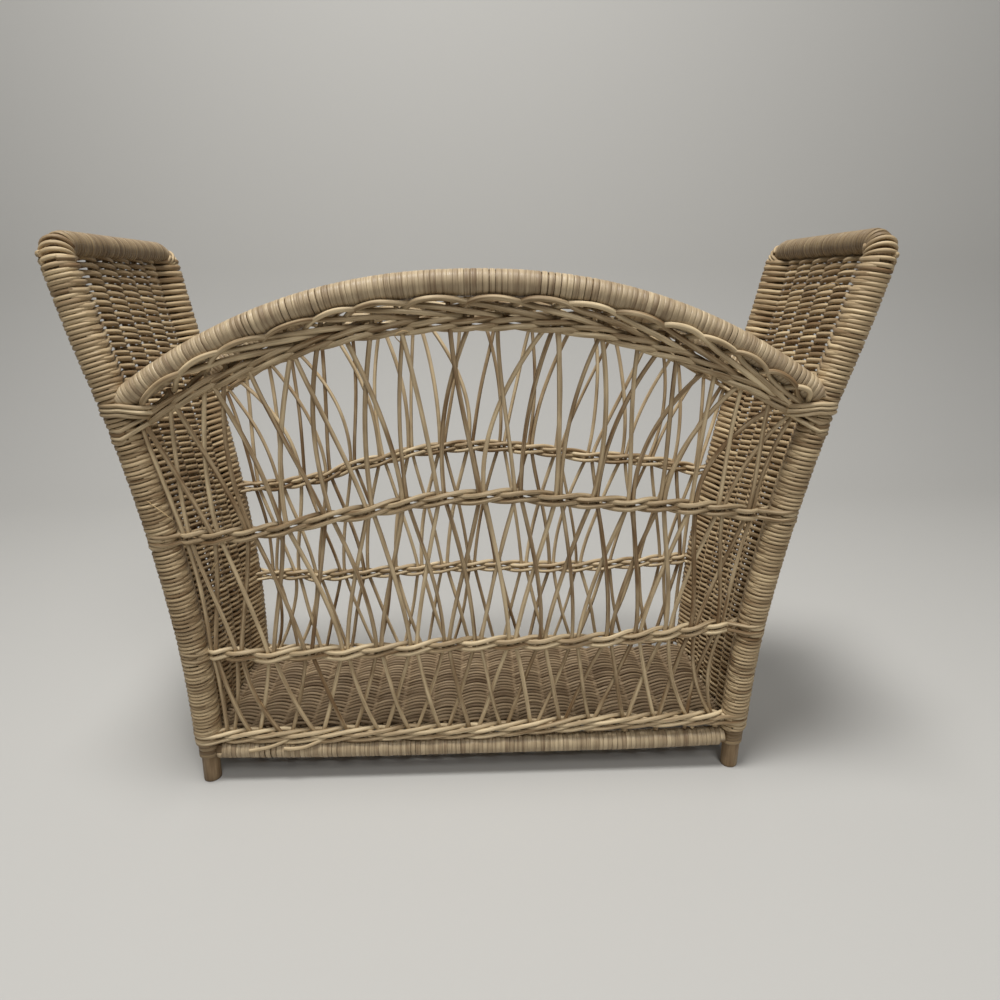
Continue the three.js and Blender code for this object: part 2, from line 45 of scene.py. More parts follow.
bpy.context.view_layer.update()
METRE = 0.001            # every length below is in millimetres until a mesh is made
REED = "reed"            # the corner attribute: millimetres along, millimetres across, tone
START_SPREAD = 900.0     # a reed's fibre starts anywhere in this length, so no two look alike
ALONG_X, ALONG_Y, UP = (1, 0, 0), (0, 1, 0), (0, 0, 1)
Array = np.ndarray


# The basket's own form


class Named(Enum):
    """A choice whose options appear in the names of pieces."""

    @property
    def word(self) -> str:
        """The option's word in those names."""
        return self.name.lower()


class End(Named):
    """The two long faces, by the sign of Y."""

    FRONT = -1
    BACK = 1


class Side(Named):
    """The two woven ends, by the sign of X."""

    LEFT = -1
    RIGHT = 1


class Row(Named):
    """The rows of a face, by their share of the way from the foot to the top one."""

    BASE = 0.0
    LOWER = 0.339
    UPPER = 0.733
    TOP = 1.0


@dataclass(frozen=True)
class BasketForm:
    """The driving lengths of the part's source, in millimetres, and the curves they give."""

    top_height: float = 339.0
    base_half_width: float = 177.0
    top_half_width: float = 215.5
    base_half_depth: float = 51.5
    top_half_depth: float = 63.5
    racking: float = 7.3
    pole_radius: float = 5.65
    corner_radius: float = 12.0
    rail_height: float = 24.0
    rail_radius: float = 5.0
    arch_end_height: float = 255.0
    arch_rise: float = 64.0
    arch_bow: float = 2.2
    edge_inset: float = 17.5
    pair_count: int = 17
    end_stake_count: int = 5
    weave_bottom: float = 30.7
    flare_heights: tuple[float, ...] = (0, 0.13, 0.3, 0.5, 0.7, 0.87, 1)
    flare_shares: tuple[float, ...] = (0.016, -0.02, 0, 0.164, 0.439, 0.777, 1)

    @property
    def leg_top(self) -> float:
        """Height at which a post starts to bend into its top bar."""
        return self.top_height - self.corner_radius

    def flare(self, place: Array) -> Array:
        """Share of the flare reached at a share of the height.

        Args:
            place: shares of the top height.

        Returns:
            The shares of the widening, from a smooth curve through the named ones.
        """
        heights, shares = np.array(self.flare_heights, float), np.array(self.flare_shares, float)
        before = np.maximum(np.arange(len(heights)) - 1, 0)
        after = np.minimum(np.arange(len(heights)) + 1, len(heights) - 1)
        slopes = (shares[after] - shares[before]) / (heights[after] - heights[before])
        place = np.asarray(place, float)
        k = np.clip(np.searchsorted(heights, place, side="right") - 1, 0, len(heights) - 2)
        span = heights[k + 1] - heights[k]
        t = (place - heights[k]) / span
        ease = t * t * (3 - 2 * t)
        leave = t * (1 - t) ** 2 * span * slopes[k]
        arrive = t * t * (t - 1) * span * slopes[k + 1]
        return shares[k] + (shares[k + 1] - shares[k]) * ease + leave + arrive

    def half_width(self, height: Array) -> Array:
        """Half the distance between the two posts of a face at a height."""
        widening = self.top_half_width - self.base_half_width
        return self.base_half_width + widening * self.flare(np.asarray(height) / self.top_height)

    def half_depth(self, height: Array) -> Array:
        """Half the distance between the two faces at a height."""
        deepening = self.top_half_depth - self.base_half_depth
        return self.base_half_depth + deepening * np.asarray(height) / self.top_height

    def lean(self, height: Array) -> Array:
        """How far the racked basket's middle lies to the left at a height."""
        return -self.racking * (1 - np.asarray(height) / self.top_height)

    def post_x(self, side: float, height: Array) -> Array:
        """X of a post's middle line at a height."""
        return side * self.half_width(height) + self.lean(height)

    def arch_slope(self, x: Array) -> Array:
        """Slope of the arched rail.

        Args:
            x: places along the face.

        Returns:
            The slope at each.
        """
        half = float(self.half_width(self.arch_end_height))
        away = np.asarray(x) - float(self.lean(self.arch_end_height))
        steepness = self.arch_rise * self.arch_bow / half
        return -np.sign(away) * steepness * (np.abs(away) / half) ** (self.arch_bow - 1)

    def arch_height(self, x: Array, drop: float = 0.0) -> Array:
        """Height of the arched rail's middle line, or of a line under it.

        Args:
            x: places along the face.
            drop: how far under the rail the line runs, square to it.

        Returns:
            The height at each place.
        """
        half = float(self.half_width(self.arch_end_height))
        away = np.asarray(x) - float(self.lean(self.arch_end_height))
        height = self.arch_end_height + self.arch_rise * (1 - (np.abs(away) / half) ** self.arch_bow)
        return height - drop * np.hypot(1, self.arch_slope(x))


FORM = BasketForm()


# Tools for lines of reed


def unit(rows: Array) -> Array:
    """Rows scaled to length one."""
    return rows / np.maximum(np.linalg.norm(rows, axis=-1, keepdims=True), 1e-12)


def eased(rows: Array, rounds: int) -> Array:
    """Softens a line's corners and keeps its two ends.

    Args:
        rows: the line's points.
        rounds: how often each point moves half-way to its neighbours' middle.

    Returns:
        The softened points.
    """
    rows = np.array(rows, float)
    for _ in range(rounds):
        rows[1:-1] = 0.5 * rows[1:-1] + 0.25 * (rows[:-2] + rows[2:])
    return rows


def respaced(rows: Array, step: float) -> Array:
    """Points at an even distance along a line.

    Args:
        rows: the line's points.
        step: the distance between the new points, in millimetres.

    Returns:
        The new points, with the same first and last one.
    """
    rows = np.asarray(rows, float)
    run = np.concatenate([[0.0], np.cumsum(np.linalg.norm(np.diff(rows, axis=0), axis=1))])
    count = max(int(round(run[-1] / step)), 3) + 1
    goal = np.linspace(0, run[-1], count)
    return np.stack([np.interp(goal, run, rows[:, k]) for k in range(rows.shape[1])], 1)


def threaded(knots: Sequence[Sequence[float]], per_span: int = 10) -> Array:
    """A smooth line through knots.

    Args:
        knots: the points that the line goes through.
        per_span: how many points it gets between two knots.

    Returns:
        The line's points.
    """
    knots = np.asarray(knots, float)
    padded = np.concatenate([[2 * knots[0] - knots[1]], knots, [2 * knots[-1] - knots[-2]]])
    t = np.linspace(0, 1, per_span, endpoint=False)[:, None]
    spans = []
    for a, b, c, d in zip(padded[:-3], padded[1:-2], padded[2:-1], padded[3:]):
        spans.append(0.5 * (2 * b + (c - a) * t + (2 * a - 5 * b + 4 * c - d) * t * t
                            + (3 * b - a - 3 * c + d) * t ** 3))
    return np.concatenate([*spans, knots[-1:]])


def round_section(radius: float, sides: int, squash: float = 1.0) -> Array:
    """The outline of a round reed, flattened across by squash."""
    turn = 2 * math.pi * np.arange(sides) / sides
    return np.stack([radius * squash * np.cos(turn), radius * np.sin(turn)], 1)


def cane_section(width: float, thick: float) -> Array:
    """The outline of flat cane: domed outside, flat inside."""
    outline = [(0, -0.5), (0.86, -0.495), (0.98, -0.40), (1.02, 0), (0.98, 0.40), (0.86, 0.495), (0, 0.5)]
    return np.array([(thick * out, width * across) for out, across in outline])


class Spine:
    """A bent middle line with a square frame at each point, for what is wound round it."""

    def __init__(self, points: Array, first: Sequence[float]) -> None:
        """Measures the line.

        Args:
            points: the line's points, close together.
            first: the direction that angle 0 of a winding points to.
        """
        self.points = np.asarray(points, float)
        steps = np.linalg.norm(np.diff(self.points, axis=0), axis=1)
        self.run = np.concatenate([[0.0], np.cumsum(steps)])
        self.tangents = unit(np.gradient(self.points, self.run, axis=0))
        first = np.broadcast_to(np.asarray(first, float), self.points.shape)
        across = first - np.sum(first * self.tangents, 1, keepdims=True) * self.tangents
        self.firsts = unit(across)

    @property
    def length(self) -> float:
        """Length of the line in millimetres."""
        return float(self.run[-1])

    def run_at_height(self, height: float) -> float:
        """How far along its first rise the line reaches a height."""
        first = int(np.argmax(self.points[:, 2] >= height - 1e-6))
        return float(np.interp(height, self.points[:first + 1, 2], self.run[:first + 1]))

    def at(self, run: Array) -> tuple[Array, Array, Array, Array]:
        """Places on the line.

        Args:
            run: millimetres from its start.

        Returns:
            The points, tangents, and the two directions across.
        """
        def read(rows: Array) -> Array:
            """Rows read at the places."""
            return np.stack([np.interp(run, self.run, rows[:, k]) for k in range(3)], 1)
        tangent = unit(read(self.tangents))
        first = read(self.firsts)
        first = unit(first - np.sum(first * tangent, 1, keepdims=True) * tangent)
        return read(self.points), tangent, first, np.cross(tangent, first)

    def wound(self, run: Array, turn: Array, radius: Array) -> tuple[Array, Array]:
        """A line wound round this one.

        Args:
            run: millimetres along at each point.
            turn: the angle round it in radians.
            radius: the distance from it.

        Returns:
            The wound line's points, and this line's direction at each.
        """
        place, tangent, first, second = self.at(run)
        out = np.cos(turn)[:, None] * first + np.sin(turn)[:, None] * second
        return place + np.asarray(radius).reshape(-1, 1) * out, tangent


class ReedMesh:
    """Gathers strands of reed, cane or pole and makes one mesh of them."""

    def __init__(self, name: str) -> None:
        """Starts an empty mesh under the piece's name."""
        self.name = name
        self.places: list[Array] = []
        self.loops: list[Array] = []
        self.sizes: list[Array] = []
        self.reeds: list[Array] = []
        self.flats: list[Array] = []
        self.count = 0

    def strand(self, path: Array, ref: Array, section: Array, tone: Array | float,
               scale: Optional[Array] = None, start: float = 0.0) -> None:
        """Adds one strand.

        Args:
            path: the strand's middle line.
            ref: a direction, or one for each point, that its section's second axis leans to.
            section: the outline across the strand.
            tone: a number from 0 to 1 that sets its shade, or one for each point.
            scale: how large the section is at each point.
            start: millimetres of reed that came before, so that no two strands look alike.
        """
        path = np.asarray(path, float)
        rings, sides = len(path), len(section)
        tangent = unit(np.gradient(path, axis=0))
        across = unit(np.cross(tangent, np.broadcast_to(np.asarray(ref, float), path.shape)))
        out = np.cross(across, tangent)
        grown = np.ones(rings) if scale is None else np.asarray(scale, float)
        ring = (path[:, None] + grown[:, None, None] * (section[None, :, :1] * across[:, None]
                + section[None, :, 1:] * out[:, None]))
        i, k = np.meshgrid(np.arange(rings - 1), np.arange(sides), indexing="ij")
        i, k = i.ravel(), k.ravel()
        after = (k + 1) % sides
        quads = np.stack([i * sides + k, (i + 1) * sides + k, (i + 1) * sides + after,
                          i * sides + after], 1)
        run = start + np.concatenate([[0.0], np.cumsum(np.linalg.norm(np.diff(path, axis=0), axis=1))])
        edge = np.linalg.norm(section - np.roll(section, -1, 0), axis=1)
        girth = np.concatenate([[0.0], np.cumsum(edge)])
        shade = np.broadcast_to(np.asarray(tone, float), (rings,))
        corner_run = np.stack([run[i], run[i + 1], run[i + 1], run[i]], 1)
        corner_girth = np.stack([girth[k], girth[k], girth[k + 1], girth[k + 1]], 1)
        corner_shade = np.stack([shade[i], shade[i + 1], shade[i + 1], shade[i]], 1)
        self.places.append(ring.reshape(-1, 3))
        self.loops.append(quads.ravel() + self.count)
        self.sizes.append(np.full(len(quads), 4))
        self.reeds.append(np.stack([corner_run, corner_girth, corner_shade], -1).reshape(-1, 3))
        self.flats.append(np.ones(len(quads), bool))
        for ring_index, order in ((0, np.arange(sides)), (rings - 1, np.arange(sides)[::-1])):
            self.loops.append(order + ring_index * sides + self.count)
            self.sizes.append(np.array([sides]))
            self.reeds.append(np.stack([np.full(sides, run[ring_index]) + girth[:-1] * 0.2,
                                        girth[:-1], np.full(sides, shade[ring_index])], 1))
            self.flats.append(np.zeros(1, bool))
        self.count += rings * sides

    def reed(self, path: Array, ref: Sequence[float], radius: float, rng: np.random.Generator,
             swell: float = 0.0, whole: float = 0.0, more: Array | float = 0.0, sides: int = 9) -> None:
        """Adds a round reed with its own tone, fibre and swellings.

        Args:
            path: its middle line.
            ref: a direction that its section's second axis leans to.
            radius: its radius.
            rng: draws what is its own.
            swell: share by which its radius changes along it.
            whole: share by which one reed's radius differs from another's.
            more: share that its radius gains, or a share for each point.
            sides: corners of its section.
        """
        tone = rng.random()
        grown = np.ones(len(path)) + more
        if whole:
            grown = grown + whole * rng.normal()
        if swell:
            grown = grown + swell * eased(rng.normal(size=len(path)), 8)
        self.strand(path, ref, round_section(radius, sides), tone, grown, rng.random() * START_SPREAD)

    def made(self, finish: "Finish", slot: str, nodes: Sequence[str] = ()) -> None:
        """Makes the piece, dresses it and lets it ride.

        Args:
            finish: the finish it gets.
            slot: not used.
            nodes: the CAD nodes that it stands for.
        """
        places = np.concatenate(self.places) * METRE
        loops, sizes = np.concatenate(self.loops), np.concatenate(self.sizes)
        mesh = bpy.data.meshes.new(self.name)
        mesh.vertices.add(len(places))
        mesh.vertices.foreach_set("co", places.astype(np.float32).ravel())
        mesh.loops.add(len(loops))
        mesh.loops.foreach_set("vertex_index", loops.astype(np.int32))
        mesh.polygons.add(len(sizes))
        starts = np.concatenate([[0], np.cumsum(sizes)[:-1]])
        mesh.polygons.foreach_set("loop_start", starts.astype(np.int32))
        mesh.polygons.foreach_set("use_smooth", np.concatenate(self.flats))
        mesh.update(calc_edges=True)
        reed = mesh.attributes.new(REED, "FLOAT_VECTOR", "CORNER")
        reed.data.foreach_set("vector", np.concatenate(self.reeds).astype(np.float32).ravel())
        mesh.validate()
        mesh.materials.append(finish.material())
        piece = bpy.data.objects.new(self.name, mesh)
        bpy.context.scene.collection.objects.link(piece)
        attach(piece, "root")
        if nodes:
            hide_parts(*nodes)
        log.info("%s: %d faces", self.name, len(sizes))


# Finishes


def linear(code: str) -> tuple[float, float, float, float]:
    """A hex colour as the linear numbers that shaders use."""
    parts = [int(code[k:k + 2], 16) / 255 for k in (0, 2, 4)]
    return (*[p / 12.92 if p <= 0.04045 else ((p + 0.055) / 1.055) ** 2.4 for p in parts], 1.0)


class Wiring:
    """Short words for adding and linking shader nodes."""

    def __init__(self, tree: bpy.types.NodeTree) -> None:
        """Works on one node tree."""
        self.tree = tree

    def node(self, kind: str, **values: object) -> bpy.types.Node:
        """Adds a node.

        Args:
            kind: the node's type.
            values: its own properties.

        Returns:
            The new node.
        """
        made = self.tree.nodes.new(kind)
        for name, value in values.items():
            setattr(made, name, value)
        return made

    def put(self, socket: bpy.types.NodeSocket, value: object) -> None:
        """Feeds an input.

        Args:
            socket: the input.
            value: the output to link it to, or the value that it keeps.
        """
        if isinstance(value, bpy.types.NodeSocket):
            self.tree.links.new(value, socket)
        else:
            socket.default_value = value

    def fed(self, made: bpy.types.Node, *values: object) -> bpy.types.NodeSocket:
        """Feeds a node's inputs in order.

        Args:
            made: the node.
            values: what its first inputs get.

        Returns:
            Its first output.
        """
        for socket, value in zip(made.inputs, values):
            self.put(socket, value)
        return made.outputs[0]

    def sum_of(self, operation: str, *values: object, clamp: bool = False) -> bpy.types.NodeSocket:
        """One Math node."""
        return self.fed(self.node("ShaderNodeMath", operation=operation, use_clamp=clamp), *values)

    def ranged(self, value: object, low: float, high: float, to_low: float = 0.0,
               to_high: float = 1.0) -> bpy.types.NodeSocket:
        """Maps one range of values to another and clamps it."""
        return self.fed(self.node("ShaderNodeMapRange", clamp=True), value, low, high, to_low, to_high)

    def vector(self, *parts: object) -> bpy.types.NodeSocket:
        """Joins three values to a vector."""
        return self.fed(self.node("ShaderNodeCombineXYZ"), *parts)

    def blend(self, share: object, one: object, other: object) -> bpy.types.NodeSocket:
        """Mixes two colours.

        Args:
            share: how much of the second one.
            one: the first colour.
            other: the second colour.

        Returns:
            The mixed colour.
        """
        made = self.node("ShaderNodeMix", data_type="RGBA")
        for place, value in ((0, share), (6, one), (7, other)):
            self.put(made.inputs[place], value)
        return made.outputs[2]

    def noise(self, vector: object, scale: float, detail: float, rough: float = 0.5) -> bpy.types.NodeSocket:
        """A noise value round one half.

        Args:
            vector: where it is read.
            scale: how fine it is.
            detail: how many finer layers it has.
            rough: how strong those are.

        Returns:
            The value.
        """
        made = self.node("ShaderNodeTexNoise")
        for name, value in (("Vector", vector), ("Scale", scale), ("Detail", detail), ("Roughness", rough)):
            self.put(made.inputs[name], value)
        return made.outputs["Fac"]


def fibre_group() -> bpy.types.NodeTree:
    """The fibre of a reed: fine lines along it, slow changes of shade, and its strand's own tone.

    Returns:
        The group, built once.
    """
    name, number, colour = "reed_fibre", "NodeSocketFloat", "NodeSocketColor"
    if name in bpy.data.node_groups:
        return bpy.data.node_groups[name]
    tree = bpy.data.node_groups.new(name, "ShaderNodeTree")
    for word, kind in (("Pale", colour), ("Deep", colour), ("Stain", colour), ("Fineness", number),
                       ("Length", number), ("Contrast", number), ("Tone Spread", number),
                       ("Staining", number)):
        tree.interface.new_socket(word, in_out="INPUT", socket_type=kind)
    for word, kind in (("Color", colour), ("Lines", number), ("Worn", number)):
        tree.interface.new_socket(word, in_out="OUTPUT", socket_type=kind)
    w = Wiring(tree)
    given, out = w.node("NodeGroupInput").outputs, w.node("NodeGroupOutput").inputs
    split = w.node("ShaderNodeSeparateXYZ")
    w.put(split.inputs[0], w.node("ShaderNodeAttribute", attribute_name=REED).outputs["Vector"])
    along, across, tone = split.outputs
    shift = w.sum_of("MULTIPLY", tone, 91.7)
    line_place = w.vector(w.sum_of("DIVIDE", along, given["Length"]),
                          w.sum_of("MULTIPLY", across, given["Fineness"]), shift)
    patch_place = w.vector(w.sum_of("MULTIPLY", along, 0.045), w.sum_of("MULTIPLY", across, 0.25), shift)
    fibre = w.ranged(w.noise(line_place, 1.0, 3.0, 0.62), 0.30, 0.70)
    patch = w.ranged(w.noise(patch_place, 1.0, 2.0), 0.32, 0.72)
    share = w.sum_of("ADD", w.sum_of("MULTIPLY", fibre, 0.45), w.sum_of("MULTIPLY", patch, 0.55))
    centred = w.sum_of("MULTIPLY", w.sum_of("SUBTRACT", share, 0.5), given["Contrast"])
    toned = w.sum_of("MULTIPLY", w.sum_of("SUBTRACT", tone, 0.5), given["Tone Spread"])
    paleness = w.sum_of("ADD", w.sum_of("ADD", centred, toned), 0.5, clamp=True)
    stains = w.noise(w.node("ShaderNodeTexCoord").outputs["Object"], 26.0, 3.0, 0.6)
    spots = w.sum_of("MULTIPLY", w.ranged(stains, 0.52, 0.74), given["Staining"], clamp=True)
    clean = w.blend(paleness, given["Deep"], given["Pale"])
    w.put(out["Color"], w.blend(spots, clean, given["Stain"]))
    w.put(out["Lines"], fibre)
    w.put(out["Worn"], patch)
    return tree


@dataclass(frozen=True)
class Finish:
    """A finish of reed, cane or pole: its three colours, fibre and sheen."""

    name: str
    pale: str
    deep: str
    stain: str
    rough: tuple[float, float]
    fineness: float
    length: float
    contrast: float
    tone_spread: float
    staining: float
    bump: float
    specular: float = 0.35
    fibre_height: float = 0.0004

    def material(self) -> bpy.types.Material:
        """The finish as a material.

        Returns:
            The material, built once.
        """
        if self.name in bpy.data.materials:
            return bpy.data.materials[self.name]
        material = bpy.data.materials.new(self.name)
        material.use_nodes = True
        material.diffuse_color = linear(self.pale)
        w = Wiring(material.node_tree)
        w.tree.nodes.clear()
        shader = w.node("ShaderNodeBsdfPrincipled")
        w.put(w.node("ShaderNodeOutputMaterial").inputs["Surface"], shader.outputs[0])
        fibre = w.node("ShaderNodeGroup", node_tree=fibre_group())
        for socket, value in (("Pale", linear(self.pale)), ("Deep", linear(self.deep)),
                              ("Stain", linear(self.stain)), ("Fineness", self.fineness),
                              ("Length", self.length), ("Contrast", self.contrast),
                              ("Tone Spread", self.tone_spread), ("Staining", self.staining)):
            fibre.inputs[socket].default_value = value
        w.put(shader.inputs["Base Color"], fibre.outputs["Color"])
        smooth, rough = self.rough
        w.put(shader.inputs["Roughness"], w.ranged(fibre.outputs["Worn"], 0.0, 1.0, rough, smooth))
        bump = w.node("ShaderNodeBump")
        for socket, value in (("Strength", self.bump), ("Distance", self.fibre_height),
                              ("Height", fibre.outputs["Lines"])):
            w.put(bump.inputs[socket], value)
        w.put(shader.inputs["Normal"], bump.outputs[0])
        shader.inputs["Specular IOR Level"].default_value = self.specular
        return material


POLE = Finish("bare_pole_finish", "a58c69", "6f573b", "463523", rough=(0.4, 0.6), fineness=0.8,
              length=60, contrast=1.0, tone_spread=0.3, staining=0.5, bump=0.3)
CANE = Finish("wound_cane_finish", "cfbb98", "79634a", "5f4a32", rough=(0.32, 0.5), fineness=1.3,
              length=60, contrast=1.0, tone_spread=0.4, staining=0.15, bump=0.5)
BAR_CANE = Finish("bar_cane_finish", "a8926f", "68533a", "574228", rough=(0.34, 0.52), fineness=1.3,
                  length=60, contrast=0.9, tone_spread=0.3, staining=0.15, bump=0.5)
FOOT_CANE = Finish("foot_cane_finish", "a18a67", "6b543a", "4c3924", rough=(0.4, 0.6), fineness=2.2,
                   length=40, contrast=1.1, tone_spread=0.7, staining=0.4, bump=0.35)
WEFT = Finish("weft_finish", "dcc59c", "735839", "4a3622", rough=(0.5, 0.7), fineness=1.3,
              length=45, contrast=0.85, tone_spread=0.6, staining=0.25, bump=0.35)
ROW = Finish("row_finish", "dfcaa3", "7d6343", "5c4629", rough=(0.48, 0.68), fineness=1.1,
             length=45, contrast=1.1, tone_spread=0.55, staining=0.3, bump=0.3)
STAKE = Finish("stake_finish", "d8c29b", "785d3e", "634d2f", rough=(0.5, 0.7), fineness=1.1,
               length=60, contrast=1.1, tone_spread=0.65, staining=0.25, bump=0.3)
FLOOR = Finish("floor_finish", "a48e6f", "5e4a33", "3d2d1b", rough=(0.55, 0.75), fineness=1.1,
               length=45, contrast=1.1, tone_spread=0.55, staining=0.45, bump=0.3)
HAIR = Finish("loose_fibre_finish", "cbb083", "a08257", "7a5f3b", rough=(0.5, 0.7), fineness=2.0,
              length=20, contrast=1.0, tone_spread=0.5, staining=0.1, bump=0.1)


def nail_steel() -> bpy.types.Material:
    """Dull steel with spots of rust for the nails.

    Returns:
        The material.
    """
    material = bpy.data.materials.new("nail_finish")
    material.use_nodes = True
    w = Wiring(material.node_tree)
    shader = w.tree.nodes["Principled BSDF"]
    where = w.node("ShaderNodeTexCoord").outputs["Object"]
    rust = w.ranged(w.noise(where, 900.0, 3.0), 0.45, 0.62)
    w.put(shader.inputs["Base Color"], w.blend(rust, linear("8a867e"), linear("5d4230")))
    w.put(shader.inputs["Roughness"], w.ranged(rust, 0.0, 1.0, 0.38, 0.8))
    w.put(shader.inputs["Metallic"], w.ranged(rust, 0.0, 1.0, 1.0, 0.2))
    return material


# Poles and what is wound round them


@dataclass(frozen=True)
class Cane:
    """Flat cane wound round a pole, turn against turn.

    Its room lies between the pole and its inner face. Broad, gap, slit and swell say how much the
    turns differ in width, how far apart they lie, how wide a slit is and how far they stand off.
    """

    width: float
    thick: float
    room: float
    slit_share: float
    pitch_share: float = 1.015
    broad: float = 0.07
    broad_limits: tuple[float, float] = (0.78, 1.3)
    gap: float = 0.07
    slit: float = 0.5
    swell: float = 0.03
    tone_spread: float = 0.22
    per_turn: int = 20

    def wind(self, mesh: ReedMesh, spine: Spine, start: float, stop: float, radius: float,
             seed: int) -> None:
        """Winds the cane round a line.

        Args:
            mesh: the mesh that it joins.
            spine: the line.
            start: where it begins, in millimetres along the line.
            stop: where it ends.
            radius: of the pole under it.
            seed: for the turns' own differences.
        """
        rng = np.random.default_rng(seed)
        turns = max(int((stop - start) / (self.width * self.pitch_share)), 2)
        broad = 1 + self.broad * rng.normal(size=turns)
        gaps = self.gap + self.gap * rng.random(turns)
        gaps = gaps + (rng.random(turns) < self.slit_share) * (self.slit + self.slit * rng.random(turns))
        pitch = self.width * np.clip(broad, *self.broad_limits) + gaps
        edges = np.concatenate([[0.0], np.cumsum(pitch)])
        edges = start + edges * (stop - start) / edges[-1]
        middles = (edges[1:] + edges[:-1]) / 2
        turn = np.arange((turns - 1) * self.per_turn + 1) / self.per_turn
        knots = np.arange(turns)
        # A turn runs straight round the line and steps to the next one opposite the spine's side.
        whole, part = np.floor(turn), turn - np.floor(turn)
        run = np.interp(whole + np.clip((part - 0.25) / 0.5, 0, 1), knots, middles)
        swell = np.interp(turn, knots, self.swell * rng.normal(size=turns))
        # Each turn keeps one tone, so its fibre runs on round it.
        tones = np.clip(0.5 + self.tone_spread * rng.normal(size=turns), 0, 1)
        path, ref = spine.wound(run, 2 * math.pi * turn, radius + self.room + swell)
        grown = np.interp(turn, knots, (np.diff(edges) - gaps) / self.width)
        mesh.strand(path, ref, cane_section(self.width, self.thick), tones[np.round(turn).astype(int)],
                    0.5 + 0.5 * grown, start=seed * 37.0)


RAIL_FILL = 0.1          # a rail's pole is this much thicker, so that no gap shows in its winding
RAIL_CANE = Cane(3.0, 1.1, 0.2, 0.05)
ARCH_CANE = Cane(3.0, 1.15, 0.3, 0.06)
TOP_CANE = Cane(2.7, 1.05, 0.25, 0.03)
POST_CANE = Cane(2.3, 0.95, 0.25, 0.08)


def wound_rail(word: str, line: Array, bare: int, across: Sequence[float], radius: float, cane: Cane,
               margin: float, seed: int) -> None:
    """A rail and the flat cane wound over it.

    Args:
        word: what the names of its pole, rail, cane and binding start with.
        line: its middle line from post to post.
        bare: how many points the pole leaves free at each end of the line.
        across: the side that the winding's steps turn away from.
        radius: the rail's radius.
        cane: its winding.
        margin: how far from the line's ends the winding stops.
        seed: for the turns' own differences.
    """
    pole = ReedMesh(f"{word}_pole")
    pole.strand(line[bare:-bare], np.abs(across), round_section(radius + RAIL_FILL, 16), 0.2)
    pole.made(POLE, "rattan_pole", [f"{word}_rail"])
    mesh = ReedMesh(f"{word}_cane")
    spine = Spine(line, across)
    cane.wind(mesh, spine, margin, spine.length - margin, radius, seed)
    mesh.made(CANE, "flat_cane", [f"{word}_binding"])


